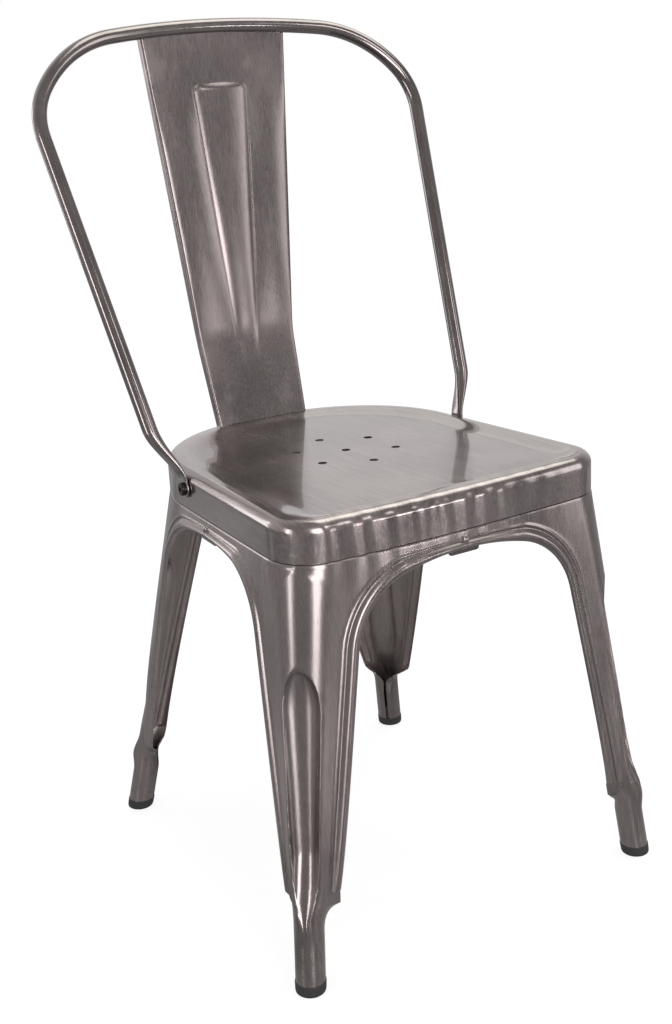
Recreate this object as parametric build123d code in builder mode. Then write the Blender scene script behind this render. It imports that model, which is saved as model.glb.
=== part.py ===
from build123d import *
from math import acos, atan2, cos, radians, sin, sqrt
import os

# Stacking metal chair: pressed seat pan on four pressed sheet legs, a bent tube back hoop and a pressed
# splat. X is across the chair, -Y is the front, +Z is up, and the origin is on the floor under the middle.

# ---- seat plan ----
seat_front_y = -196.0        # middle of the front edge
seat_rear_y = 184.5          # middle of the rear edge
seat_half_width = 182.0      # half width that the sides would have at the front edge's middle
side_taper = 4.3             # degrees, each side runs inwards to the rear
front_bow_radius = 1900.0
rear_bow_radius = 700.0
front_corner_radius = 40.0
rear_corner_radius = 148.0
leg_joint_y = -12.0          # where front and rear legs meet on the sides

# ---- seat pan ----
seat_underside_z = 394.5     # lower edge of the skirt
skirt_height = 38.5
seat_sheet = 1.2
rim_roll_radius = 11.0
rear_fall = 2.0              # the rear border drops this much
rear_fall_start_y = 60.0
fall_sweep = 3.0             # degrees of the falling arc, runs past the rear edge
recess_depth = 3.8
recess_border = 18.0         # flat border around the recess
recess_rear_border = 25.0
recess_side_slope = 23.0     # the recess walls slope this far in
recess_front_slope = 8.0
recess_front_radius = 26.0
recess_rear_radius = 125.0
drain_hole_diameter = 9.0
drain_circle_radius = 50.2
drain_centre_y = -1.0
drain_hole_count = 6

# ---- legs ----
leg_sheet = 1.2
front_foot_x = 199.6
front_foot_y = -212.5
rear_foot_x = 173.8
rear_foot_y = 200.7
foot_tube_radius = 14.0
foot_tube_top_z = 58.0
shell_foot_z = 88.0          # the open shell ends and starts to close into the tube
seam_half_angle = 7.0        # degrees of the tube's open seam
front_shell_radius = 18.0    # corner radius of the shell at its foot
rear_shell_radius = 21.0
front_wing_tip = (162.7, -210.0)        # shell foot, end of the front wing
front_side_wing_tip = (198.5, -180.5)   # shell foot, end of the side wing
rear_wing_tip = (132.5, 193.5)
rear_side_wing_tip = (173.0, 150.0)
wing_bulge = 0.4             # wings are pressed slightly round at the shell's foot
wing_top_bulge = 0.02        # and all but straight under the seat
leg_joint_gap = 0.3          # between neighbouring legs
joint_overrun = 12.0         # wings are formed past the joint, then cut off at it

# ---- arches between the legs ----
arch_top_z = 376.5
arch_crown_radius = 270.0
arch_shoulder_radius = 60.0
front_arch_half_width = 122.0   # at the spring height
front_side_arch_y = -122.0      # side arch, front end
rear_side_arch_y = 88.0         # side arch, rear end
rear_arch_half_width = 71.0
arch_spring_z = 318.0
bead_width = 12.0
bead_height = 3.0

wing_inner_reach = 60.0      # the arch openings are cut from here outwards

# ---- corner flute ----
flute_top_z = 312.0
flute_wide_z = 272.0
flute_low_z = 150.0
flute_foot_z = 68.0
flute_top_half_width = 8.0
flute_half_width = 21.0
flute_low_half_width = 14.0
flute_press = 10.0
flute_tip_radius = 1.5

# ---- joint between legs and seat ----
shoulder_height = 2.5
shoulder_inset = 0.3
tuck_height = 13.0
tuck_clearance = 0.2

# ---- foot caps ----
cap_radius = 14.6
cap_height = 11.0
cap_plug_height = 18.0
cap_plug_clearance = 0.2
cap_edge_radius = 2.0

# ---- back hoop ----
hoop_tube_radius = 7.4
hoop_tube_wall = 1.2
hoop_base_y = 33.5
hoop_base_z = 424.5
hoop_lean = 22.4             # degrees back from upright
hoop_base_half_width = 182.0
hoop_rise = 451.9            # along the lean, to the crown
hoop_top_half_width = 230.3  # where the sides would meet the crown
hoop_corner_rise = 374.3     # control line: the sides run up to here
hoop_shoulder_x = 173.7      # then in to here
hoop_shoulder_rise = 439.3
hoop_crown_x = 61.1          # then in and back to here, and level across the middle
hoop_back_bow = 13.8         # the crown bends backwards
hoop_tube_start = 30.0       # round tube starts this far up the lean
tab_width = 18.0
tab_thickness = 3.0
bolt_z = 415.5
tab_rise = 8.0               # flat length above the bolt

# ---- fasteners ----
bolt_radius = 3.0
bolt_clearance = 0.25
bolt_head_radius = 6.5
bolt_head_height = 4.0
bolt_head_edge = 1.5
socket_radius = 2.4
socket_depth = 2.0
bolt_length = 13.0
washer_radius = 6.5
washer_thickness = 1.2
nut_radius = 5.7
nut_height = 5.0

# ---- back splat ----
splat_sheet = 1.2
splat_top_z = 836.0
splat_top_y = 216.6
splat_bend_z = 522.0
splat_bend_y = 187.8
splat_foot_y = 163.0
splat_bend_radius = 90.0
splat_top_half_width = 84.8
splat_bend_half_width = 58.2
splat_foot_half_width = 54.2
splat_flange = 9.0
splat_weld_gap = 0.3
rib_top_z = 793.0
rib_foot_z = 500.0
rib_top_half_width = 30.0
rib_foot_half_width = 9.0
rib_corner_radius = 7.0
rib_height = 3.0
rib_draft = 50.0             # degrees, slope of the rib's walls

# ---- braces ----
brace_width = 26.0
brace_flange = 8.0
brace_sheet = 1.5
brace_meet_z = 400.0
brace_clearance = 0.2
rivet_radius = 3.0
rivet_clearance = 0.2
rivet_head_radius = 6.0
rivet_head_height = 2.0

# ---- joint plates ----
joint_plate_half_width = 17.0
joint_plate_thickness = 1.5
joint_plate_corner = 3.0
joint_plate_foot_z = 371.5
joint_plate_clearance = 0.2

half_turn = 180.0
eighth_turn = 45.0
taper_slope = sin(radians(side_taper)) / cos(radians(side_taper))
side_normal = Vector(cos(radians(side_taper)), sin(radians(side_taper)))
seat_top_z = seat_underside_z + skirt_height
wall_reach = 2 * seat_half_width


def nested_centre(normal, reach, big_centre, big_radius, small_radius, facing):
    # centre of a circle that touches a line and a bigger circle, both from inside
    along = Vector(-normal.Y, normal.X)
    foot = normal * (reach - small_radius)
    half_term = along.dot(big_centre)
    rest = (foot - big_centre).length ** 2 - (big_radius - small_radius) ** 2
    return foot + along * (half_term + facing * sqrt(half_term**2 - rest))


def side_x(y, depth=0.0):
    return seat_half_width - taper_slope * (y - seat_front_y) - depth / side_normal.X


def plan_quarter(end_y, bow_radius, corner_radius, facing, depth=0.0, overrun=0.0):
    # seven points from the side's middle around the corner to the end's middle, run on past both by overrun
    bow_centre = Vector(0, end_y - facing * bow_radius)
    reach = side_x(0.0) * side_normal.X
    centre = nested_centre(side_normal, reach, bow_centre, bow_radius, corner_radius, facing)
    to_bow = (centre - bow_centre).normalized()
    apex = (side_normal + to_bow).normalized()
    to_end = Vector(-overrun, facing * bow_radius).normalized()
    bow_middle = (to_bow + to_end).normalized()
    side_joint = centre + side_normal * (corner_radius - depth)
    side_end_y = leg_joint_y - facing * overrun
    side_tip = Vector(side_x(side_end_y, depth), side_end_y)
    return [
        side_tip,
        (side_tip + side_joint) * 0.5 + side_normal * wing_top_bulge,
        side_joint,
        centre + apex * (corner_radius - depth),
        centre + to_bow * (corner_radius - depth),
        bow_centre + bow_middle * (bow_radius - depth),
        bow_centre + to_end * (bow_radius - depth),
    ]


def front_quarter(depth=0.0, overrun=0.0):
    return plan_quarter(seat_front_y, front_bow_radius, front_corner_radius, -1, depth, overrun)


def rear_quarter(depth=0.0, overrun=0.0):
    return plan_quarter(seat_rear_y, rear_bow_radius, rear_corner_radius, 1, depth, overrun)


def mirrored(point):
    return Vector(-point.X, point.Y)


def seat_plan(depth=0.0):
    # closed outline of the seat, inset by depth
    front = front_quarter(depth)
    rear = rear_quarter(depth)
    with BuildSketch() as plan:
        with BuildLine():
            ThreePointArc(mirrored(front[4]), front[6], front[4])
            ThreePointArc(front[4], front[3], front[2])
            Line(front[2], rear[2])
            ThreePointArc(rear[2], rear[3], rear[4])
            ThreePointArc(rear[4], rear[6], mirrored(rear[4]))
            ThreePointArc(mirrored(rear[4]), mirrored(rear[3]), mirrored(rear[2]))
            Line(mirrored(rear[2]), mirrored(front[2]))
            ThreePointArc(mirrored(front[2]), mirrored(front[3]), mirrored(front[4]))
        make_face()
    return plan.sketch


def recess_plan(growth, front_inset, side_inset, rear_inset, corner_growth):
    # the recess outline, inset from the seat's edges and grown by growth
    front_y = seat_front_y + front_inset - growth
    rear_y = seat_rear_y - rear_inset + growth
    front_x = side_x(front_y, side_inset - growth)
    rear_x = side_x(rear_y, side_inset - growth)
    with BuildSketch() as plan:
        with BuildLine():
            Polyline((-front_x, front_y), (front_x, front_y), (rear_x, rear_y), (-rear_x, rear_y), close=True)
        make_face()
        corners = plan.vertices().group_by(Axis.Y)
        fillet(corners[0], recess_front_radius - corner_growth)
        fillet(plan.vertices().group_by(Axis.Y)[-1], recess_rear_radius - corner_growth)
    return plan.sketch


def recess_block(growth):
    # tapered block that presses the panel down, thicker by growth
    floor_z = seat_top_z - recess_depth - growth
    top_z = seat_top_z + growth
    upper = recess_plan(growth, recess_border, recess_border, recess_rear_border, 0.0)
    lower = recess_plan(
        growth,
        recess_border + recess_front_slope,
        recess_border + recess_side_slope,
        recess_rear_border + recess_side_slope,
        recess_front_slope,
    )
    floor = lower.moved(Location((0, 0, floor_z))).face()
    top = upper.moved(Location((0, 0, top_z))).face()
    return loft([floor, top], ruled=True)


def seat_body(depth):
    # solid under the seat's upper surface, inset by depth
    top_z = seat_top_z - depth
    fall_run = seat_rear_y - rear_fall_start_y
    fall_radius = fall_run**2 / (2 * rear_fall)
    ahead_y = seat_front_y * 2
    with BuildPart() as body:
        with BuildSketch(Plane.XY.offset(seat_underside_z)):
            add(seat_plan(depth))
        extrude(amount=skirt_height - depth)
        with BuildSketch(Plane.YZ):
            with BuildLine():
                fall_centre = (rear_fall_start_y, top_z - fall_radius)
                fall = CenterArc(fall_centre, fall_radius, 90 - fall_sweep, fall_sweep)
                ahead = (ahead_y, top_z)
                behind = ((fall @ 0).X, seat_underside_z)
                Polyline(fall @ 1, ahead, (ahead_y, seat_underside_z), behind, fall @ 0)
            make_face()
        extrude(amount=seat_half_width * 2, both=True, mode=Mode.INTERSECT)
        rim = [edge for edge in body.edges() if edge.bounding_box().min.Z > top_z - rear_fall * 2]
        rim = [edge for edge in rim if edge.bounding_box().size.X < 2 * side_x(rear_fall_start_y, depth) - 1]
        fillet(rim, rim_roll_radius - depth)
    return body.part


def rim_z(y):
    # height of the border's top on the seat's middle line
    fall_run = seat_rear_y - rear_fall_start_y
    return seat_top_z - rear_fall * (max(0.0, y - rear_fall_start_y) / fall_run) ** 2


def sheet_face(outer, inner, z):
    # closed ribbon between two runs of seven points
    with BuildSketch(Plane.XY.offset(z)) as ribbon:
        with BuildLine():
            ThreePointArc(outer[0], outer[1], outer[2])
            ThreePointArc(outer[2], outer[3], outer[4])
            ThreePointArc(outer[4], outer[5], outer[6])
            Line(outer[6], inner[6])
            ThreePointArc(inner[6], inner[5], inner[4])
            ThreePointArc(inner[4], inner[3], inner[2])
            ThreePointArc(inner[2], inner[1], inner[0])
            Line(inner[0], outer[0])
        make_face()
    return ribbon.sketch


def block_face(points, z):
    # the section closed straight from wing tip to wing tip
    with BuildSketch(Plane.XY.offset(z)) as block:
        with BuildLine():
            ThreePointArc(points[0], points[1], points[2])
            ThreePointArc(points[2], points[3], points[4])
            ThreePointArc(points[4], points[5], points[6])
            Line(points[6], points[0])
        make_face()
    return block.sketch


def open_block_face(points, away, z):
    # like block_face, run out past the wing tips so that it leaves them open
    with BuildSketch(Plane.XY.offset(z)) as block:
        with BuildLine():
            ThreePointArc(points[0], points[1], points[2])
            ThreePointArc(points[2], points[3], points[4])
            ThreePointArc(points[4], points[5], points[6])
            Polyline(points[6], points[6] + away, points[0] + away, points[0])
        make_face()
    return block.sketch


def bolt_plane(outset=0.0):
    # on the right side of the skirt: X along the skirt, Y up the hoop's lean, Z outwards
    lean = radians(hoop_lean)
    y = hoop_base_y + (bolt_z - hoop_base_z) * sin(lean) / cos(lean)
    outward = Vector(side_normal.X, side_normal.Y, 0)
    rise = Vector(0, sin(lean), cos(lean))
    rise = (rise - outward * outward.dot(rise)).normalized()
    place = Vector(side_x(y), y, bolt_z) + outward * outset
    return Plane(origin=place, x_dir=rise.cross(outward), z_dir=outward)


def write(piece, name):
    piece.label = name
    export_step(piece, f"parts/{name}.step")


def write_pair(right, name):
    write(right, f"{name}_right")
    write(mirror(right, about=Plane.YZ), f"{name}_left")


os.makedirs("parts", exist_ok=True)

# ---- seat pan: skirt, rolled rim, falling rear border, pressed panel, drain holes, screw holes ----
with BuildPart(mode=Mode.PRIVATE) as seat_hollow:
    add(seat_body(seat_sheet))
    add(recess_block(seat_sheet), mode=Mode.SUBTRACT)

with BuildPart(mode=Mode.PRIVATE) as screw_hole:
    with BuildSketch(bolt_plane(-tab_width)):
        Circle(bolt_radius + bolt_clearance)
    extrude(amount=2 * tab_width)

with BuildPart() as seat_pan:
    add(seat_body(0.0))
    add(recess_block(0.0), mode=Mode.SUBTRACT)
    add(seat_hollow.part, mode=Mode.SUBTRACT)
    with BuildSketch(Plane.XY.offset(seat_top_z)):
        with Locations((0, drain_centre_y)):
            Circle(drain_hole_diameter / 2)
        with Locations((0, drain_centre_y)):
            with PolarLocations(drain_circle_radius, drain_hole_count, start_angle=90):
                Circle(drain_hole_diameter / 2)
    extrude(amount=-skirt_height / 2, mode=Mode.SUBTRACT)
    add(screw_hole.part, mode=Mode.SUBTRACT)
    add(mirror(screw_hole.part, about=Plane.YZ), mode=Mode.SUBTRACT)
write(seat_pan.part, "seat_pan")


# ---- legs ----
class LegPlan:
    # one right-hand leg: facing is -1 for the front leg and 1 for the rear leg
    def __init__(self, facing, quarter, foot, shell_radius, side_tip, end_tip):
        self.facing = facing
        self.quarter = quarter
        self.outward = Vector(sqrt(0.5), facing * sqrt(0.5))
        self.foot = Vector(*foot)
        self.shell_radius = shell_radius
        self.side_tip = Vector(*side_tip)
        self.end_tip = Vector(*end_tip)

    def corner(self, z):
        # the corner line runs straight from the tube's outer face at the floor to the seat's corner
        start = self.foot + self.outward * foot_tube_radius
        return start + (self.quarter(0.0)[3] - start) * (z / seat_underside_z)

    def tube_centre(self, z):
        return self.corner(z) - self.outward * foot_tube_radius

    def touch(self, tip, centre, turn):
        # direction from the corner circle's centre to where a wing leaves it
        run = tip - centre
        angle = atan2(run.Y, run.X) + turn * acos(self.shell_radius / run.length)
        return Vector(cos(angle), sin(angle))

    def shell_section(self, depth):
        # seven points of the shell's foot
        centre = self.corner(shell_foot_z) - self.outward * self.shell_radius
        to_side = self.touch(self.side_tip, centre, self.facing)
        to_end = self.touch(self.end_tip, centre, -self.facing)
        apex = (to_side + to_end).normalized()
        side_joint = centre + to_side * (self.shell_radius - depth)
        end_joint = centre + to_end * (self.shell_radius - depth)
        side_tip = self.side_tip - to_side * depth
        end_tip = self.end_tip - to_end * depth
        return [
            side_tip,
            (side_tip + side_joint) * 0.5 + to_side * wing_bulge,
            side_joint,
            centre + apex * (self.shell_radius - depth),
            end_joint,
            (end_tip + end_joint) * 0.5 + to_end * wing_bulge,
            end_tip,
        ]

    def tube_section(self, z, depth):
        # seven points of the rolled tube, open by the seam on its inner side
        middle = self.facing * eighth_turn
        lip = half_turn - seam_half_angle
        between = (lip + eighth_turn) / 2
        turns = (lip, between, eighth_turn, 0.0, -eighth_turn, -between, -lip)
        angles = [radians(middle - self.facing * turn) for turn in turns]
        reach = foot_tube_radius - depth
        return [self.tube_centre(z) + Vector(cos(angle), sin(angle)) * reach for angle in angles]

    def top_section(self, depth):
        # seven points along the seat's edge, wings run on past the joints
        return self.quarter(depth, joint_overrun)


def lofted(lower, upper):
    with BuildPart(mode=Mode.PRIVATE) as body:
        add(lower)
        add(upper)
        loft(ruled=True)
    return body.part


def shell_between(plan, outer, inner):
    # sheet between two depths, from the seat down to the shell's foot
    top = sheet_face(plan.top_section(outer), plan.top_section(inner), seat_underside_z)
    foot = sheet_face(plan.shell_section(outer), plan.shell_section(inner), shell_foot_z)
    return lofted(foot, top)


def shell_block(plan):
    # everything inside the shell's outer face
    return lofted(
        block_face(plan.shell_section(0.0), shell_foot_z),
        block_face(plan.top_section(0.0), seat_underside_z),
    )


def leg_quadrant(plan):
    # the space one leg may fill, up to half the gap from its neighbours
    joint_y = leg_joint_y + plan.facing * leg_joint_gap / 2
    with BuildPart(mode=Mode.PRIVATE) as quadrant:
        with BuildSketch():
            with Locations((leg_joint_gap / 2 + wall_reach / 2, joint_y + plan.facing * wall_reach / 2)):
                Rectangle(wall_reach, wall_reach)
        extrude(amount=2 * seat_underside_z)
    return quadrant.part


def throat_body(plan):
    # the open shell closes into the rolled tube
    away = plan.outward * -foot_tube_radius
    outside = lofted(
        block_face(plan.tube_section(foot_tube_top_z, 0.0), foot_tube_top_z),
        block_face(plan.shell_section(0.0), shell_foot_z),
    )
    inside = lofted(
        open_block_face(plan.tube_section(foot_tube_top_z, leg_sheet), away, foot_tube_top_z),
        open_block_face(plan.shell_section(leg_sheet), away, shell_foot_z),
    )
    with BuildPart(mode=Mode.PRIVATE) as throat:
        add(outside)
        add(inside, mode=Mode.SUBTRACT)
    return throat.part


def tube_face(plan, z):
    return sheet_face(plan.tube_section(z, 0.0), plan.tube_section(z, leg_sheet), z)


def arch_face(ends, springs, growth):
    # opening between two legs: straight edges, round shoulders and a flat crown
    (foot_a, foot_b), (spring_a, spring_b) = ends, springs
    rise = (arch_top_z + arch_shoulder_radius - shell_foot_z) / (arch_spring_z - shell_foot_z)
    peak_a = foot_a + (spring_a - foot_a) * rise
    peak_b = foot_b + (spring_b - foot_b) * rise
    middle = (spring_a + spring_b) / 2
    peak_z = arch_top_z + arch_shoulder_radius
    with BuildSketch() as opening:
        Polygon((foot_a, shell_foot_z), (foot_b, shell_foot_z), (peak_b, peak_z), (peak_a, peak_z), align=None)
        with Locations((middle, arch_top_z - arch_crown_radius)):
            Circle(arch_crown_radius, mode=Mode.INTERSECT)
        shoulders = [corner for corner in opening.vertices() if corner.Y > arch_spring_z]
        fillet(shoulders, arch_shoulder_radius)
        if growth:
            offset(amount=growth)
    return opening.sketch


def side_arch(growth=0.0):
    feet = (front_side_wing_tip[1], rear_side_wing_tip[1])
    return arch_face(feet, (front_side_arch_y, rear_side_arch_y), growth)


def front_arch(growth=0.0):
    feet = (-front_wing_tip[0], front_wing_tip[0])
    return arch_face(feet, (-front_arch_half_width, front_arch_half_width), growth)


def rear_arch(growth=0.0):
    feet = (-rear_wing_tip[0], rear_wing_tip[0])
    return arch_face(feet, (-rear_arch_half_width, rear_arch_half_width), growth)


def arch_tool(facing, growth):
    # the side opening and the front or rear opening, cut straight through
    end_arch = front_arch if facing < 0 else rear_arch
    with BuildPart(mode=Mode.PRIVATE) as tool:
        with BuildSketch(Plane.YZ.offset(wing_inner_reach)):
            add(side_arch(growth))
        extrude(amount=wall_reach)
        with BuildSketch(Plane.XZ.offset(-facing * wing_inner_reach)):
            add(end_arch(growth))
        extrude(amount=-facing * wall_reach)
    return tool.part


def flute_tool(plan, growth):
    # round-ended wedge that presses the corner in
    stations = (
        (flute_foot_z, flute_tip_radius, flute_tip_radius),
        (flute_low_z, flute_low_half_width, flute_press),
        (flute_wide_z, flute_half_width, flute_press),
        (flute_top_z, flute_top_half_width, flute_tip_radius),
    )
    with BuildPart(mode=Mode.PRIVATE) as tool:
        for z, half_width, press in stations:
            across = Vector(-plan.outward.Y, plan.outward.X)
            centre = plan.corner(z)
            with BuildSketch(Plane(origin=(centre.X, centre.Y, z), x_dir=across, z_dir=(0, 0, 1))):
                Ellipse(half_width + growth, press + growth)
        loft()
    return tool.part


def tuck_flange(plan):
    # stepped top edge: a shoulder under the skirt and a flange inside it
    flange_depth = seat_sheet + tuck_clearance
    inner = flange_depth + leg_sheet
    foot_z = seat_underside_z - shoulder_height
    with BuildPart(mode=Mode.PRIVATE) as tuck:
        with BuildSketch(Plane.XY.offset(foot_z)):
            add(sheet_face(plan.top_section(shoulder_inset), plan.top_section(inner), 0.0))
        extrude(amount=shoulder_height)
        with BuildSketch(Plane.XY.offset(foot_z)):
            add(sheet_face(plan.top_section(flange_depth), plan.top_section(inner), 0.0))
        extrude(amount=shoulder_height + tuck_height)
    return tuck.part


def make_leg(plan):
    bead_skin = shell_between(plan, -bead_height, leg_sheet)
    bead_inside = shell_between(plan, leg_sheet - bead_height, 2 * leg_sheet)
    tube = lofted(tube_face(plan, cap_height), tube_face(plan, foot_tube_top_z))

    with BuildPart(mode=Mode.PRIVATE) as bead:
        add(bead_skin)
        add(arch_tool(plan.facing, bead_width), mode=Mode.INTERSECT)
    with BuildPart(mode=Mode.PRIVATE) as bead_hollow:
        add(bead_inside)
        add(arch_tool(plan.facing, bead_width - leg_sheet), mode=Mode.INTERSECT)
        add(arch_tool(plan.facing, leg_sheet), mode=Mode.SUBTRACT)
    with BuildPart(mode=Mode.PRIVATE) as flute_skin:
        add(shell_block(plan))
        add(flute_tool(plan, leg_sheet), mode=Mode.INTERSECT)
        add(flute_tool(plan, 0.0), mode=Mode.SUBTRACT)
    with BuildPart() as body:
        add(shell_between(plan, 0.0, leg_sheet))
        add(flute_tool(plan, 0.0), mode=Mode.SUBTRACT)
        add(flute_skin.part)
        add(bead.part)
        add(bead_hollow.part, mode=Mode.SUBTRACT)
        add(arch_tool(plan.facing, 0.0), mode=Mode.SUBTRACT)
        add(throat_body(plan))
        add(tuck_flange(plan))
        add(leg_quadrant(plan), mode=Mode.INTERSECT)
        add(tube)
    return body.part


front_foot = (front_foot_x, front_foot_y)
rear_foot = (rear_foot_x, rear_foot_y)
front_plan = LegPlan(-1, front_quarter, front_foot, front_shell_radius, front_side_wing_tip, front_wing_tip)
rear_plan = LegPlan(1, rear_quarter, rear_foot, rear_shell_radius, rear_side_wing_tip, rear_wing_tip)
write_pair(make_leg(front_plan), "leg_front")
write_pair(make_leg(rear_plan), "leg_rear")


# ---- rubber foot caps: a foot under the tube and a plug inside it ----
def make_cap(plan):
    plug_top_z = cap_height + cap_plug_height
    plug_radius = foot_tube_radius - leg_sheet - cap_plug_clearance
    with BuildPart() as cap:
        for z in (0.0, cap_height):
            with BuildSketch(Plane.XY.offset(z)):
                with Locations(plan.tube_centre(z)):
                    Circle(cap_radius)
        loft(ruled=True)
        fillet(cap.faces().sort_by(Axis.Z)[0].edges(), cap_edge_radius)
        for z in (cap_height, plug_top_z):
            with BuildSketch(Plane.XY.offset(z)):
                with Locations(plan.tube_centre(z)):
                    Circle(plug_radius)
        loft(ruled=True)
    return cap.part


write_pair(make_cap(front_plan), "foot_cap_front")
write_pair(make_cap(rear_plan), "foot_cap_rear")


# ---- plates behind the joints between neighbouring legs ----
def joint_plate(along, outward, place):
    # upright plate against the inner faces of the two legs
    top_z = seat_underside_z - shoulder_height - joint_plate_clearance
    height = top_z - joint_plate_foot_z
    middle = Vector(place.X, place.Y, joint_plate_foot_z + height / 2)
    inset = leg_sheet + joint_plate_clearance
    with BuildPart() as plate:
        with BuildSketch(Plane(origin=middle - outward * inset, x_dir=along, z_dir=outward)):
            RectangleRounded(2 * joint_plate_half_width, height, joint_plate_corner)
        extrude(amount=-joint_plate_thickness)
    return plate.part


front_bow_sag = joint_plate_half_width**2 / (2 * front_bow_radius)
rear_bow_sag = joint_plate_half_width**2 / (2 * rear_bow_radius)
front_middle = Vector(0, seat_front_y + front_bow_sag)
rear_middle = Vector(0, seat_rear_y - rear_bow_sag)
side_middle = Vector(side_x(leg_joint_y), leg_joint_y)
side_along = Vector(-side_normal.Y, side_normal.X)
write(joint_plate(Vector(1, 0), Vector(0, -1), front_middle), "joint_plate_front")
write(joint_plate(Vector(-1, 0), Vector(0, 1), rear_middle), "joint_plate_rear")
write_pair(joint_plate(side_along, side_normal, side_middle), "joint_plate")


# ---- crossed channels under the seat, welded to the legs' flanges ----
def brace_bar(up):
    # channel along the diagonal between opposite corners, web at the meeting plane, flanges away from it
    front_corner = front_quarter()[3]
    rear_corner = mirrored(rear_quarter()[3])
    middle = (front_corner + rear_corner) * 0.5
    run = rear_corner - front_corner
    with BuildPart() as bar:
        ground = Plane(origin=(middle.X, middle.Y, brace_meet_z), x_dir=run, z_dir=(0, 0, up))
        with BuildSketch(ground):
            Rectangle(run.length, brace_width)
        extrude(amount=brace_flange)
        with BuildSketch(ground.offset(brace_sheet)):
            Rectangle(run.length, brace_width - 2 * brace_sheet)
        extrude(amount=brace_flange, mode=Mode.SUBTRACT)
        with BuildSketch(Plane.XY.offset(brace_meet_z - brace_flange)):
            add(seat_plan(seat_sheet + tuck_clearance + leg_sheet + brace_clearance))
        extrude(amount=2 * brace_flange, mode=Mode.INTERSECT)
        with BuildSketch(Plane.XY.offset(brace_meet_z - brace_flange)):
            with Locations(brace_crossing()):
                Circle(rivet_radius + rivet_clearance)
        extrude(amount=2 * brace_flange, mode=Mode.SUBTRACT)
    return bar.part


def brace_crossing():
    # both diagonals cross on the middle line
    front_corner = front_quarter()[3]
    rear_corner = mirrored(rear_quarter()[3])
    share = front_corner.X / (front_corner.X - rear_corner.X)
    return front_corner + (rear_corner - front_corner) * share


write(brace_bar(1), "brace_bar_upper")
write(mirror(brace_bar(-1), about=Plane.YZ), "brace_bar_lower")

with BuildPart() as brace_rivet:
    grip = 2 * brace_sheet
    with BuildSketch(Plane.XY.offset(brace_meet_z - brace_sheet)):
        with Locations(brace_crossing()):
            Circle(rivet_radius)
    extrude(amount=grip)
    for face_z, lift in ((brace_meet_z + brace_sheet, 1), (brace_meet_z - brace_sheet, -1)):
        with BuildSketch(Plane.XY.offset(face_z)):
            with Locations(brace_crossing()):
                Circle(rivet_head_radius)
        extrude(amount=lift * rivet_head_height)
write(brace_rivet.part, "brace_rivet")


# ---- back hoop: bent tube, its ends pressed flat against the skirt ----
hoop_plane = Plane(
    origin=(0, hoop_base_y, hoop_base_z),
    x_dir=(1, 0, 0),
    z_dir=(0, -cos(radians(hoop_lean)), sin(radians(hoop_lean))),
)


def on_hoop(x, rise, bow=0.0):
    # a point beside the hoop's middle line, up its lean, moved back by bow
    return hoop_plane.from_local_coords(Vector(x, rise, 0)) + Vector(0, bow, 0)


def bend(before, corner, after, reach):
    # arc around a corner of the hoop's control line, touching it reach away on both sides
    inward = (before - corner).normalized()
    onward = (after - corner).normalized()
    half_angle = inward.get_angle(onward) / 2
    radius = reach * sin(radians(half_angle)) / cos(radians(half_angle))
    middle_reach = reach / cos(radians(half_angle)) - radius
    middle = corner + (inward + onward).normalized() * middle_reach
    ThreePointArc(corner + inward * reach, middle, corner + onward * reach)


hoop_widening = (hoop_top_half_width - hoop_base_half_width) / hoop_rise
tube_start = on_hoop(hoop_base_half_width + hoop_widening * hoop_tube_start, hoop_tube_start)
hoop_corner = on_hoop(hoop_base_half_width + hoop_widening * hoop_corner_rise, hoop_corner_rise)
hoop_shoulder = on_hoop(hoop_shoulder_x, hoop_shoulder_rise)
hoop_crown = on_hoop(hoop_crown_x, hoop_rise, hoop_back_bow)
hoop_apex = on_hoop(0.0, hoop_rise, hoop_back_bow)
shoulder_reach = (hoop_crown - hoop_shoulder).length - hoop_crown_x
corner_reach = (hoop_shoulder - hoop_corner).length - shoulder_reach
side_run = (hoop_corner - tube_start).normalized()
tab_plane = bolt_plane()
tab_middle = bolt_plane(tab_thickness / 2)
press_start = tab_middle.from_local_coords(Vector(0, tab_rise, 0))


def hoop_bends():
    bend(tube_start, hoop_corner, hoop_shoulder, corner_reach)
    bend(hoop_corner, hoop_shoulder, hoop_crown, shoulder_reach)
    bend(hoop_shoulder, hoop_crown, hoop_apex, hoop_crown_x)


with BuildPart() as half_hoop:
    with BuildLine():
        Line(tube_start, hoop_corner - side_run * corner_reach)
        hoop_bends()
    with BuildSketch(Plane(origin=tube_start, x_dir=tab_plane.x_dir, z_dir=side_run)):
        Circle(hoop_tube_radius)
        Circle(hoop_tube_radius - hoop_tube_wall, mode=Mode.SUBTRACT)
    sweep()
    with BuildSketch(Plane(origin=press_start, x_dir=tab_plane.x_dir, z_dir=tab_plane.y_dir)):
        Ellipse(tab_width / 2, tab_thickness / 2)
    with BuildSketch(Plane(origin=tube_start, x_dir=tab_plane.x_dir, z_dir=side_run)):
        Circle(hoop_tube_radius)
    loft()
    with BuildSketch(tab_plane):
        Circle(tab_width / 2)
        with Locations((0, tab_rise / 2)):
            Rectangle(tab_width, tab_rise)
    extrude(amount=tab_thickness)
    with BuildSketch(tab_plane):
        Circle(bolt_radius + bolt_clearance)
    extrude(amount=tab_thickness, mode=Mode.SUBTRACT)

with BuildPart() as back_hoop:
    add(half_hoop.part)
    mirror(about=Plane.YZ)
write(back_hoop.part, "back_hoop")


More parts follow.
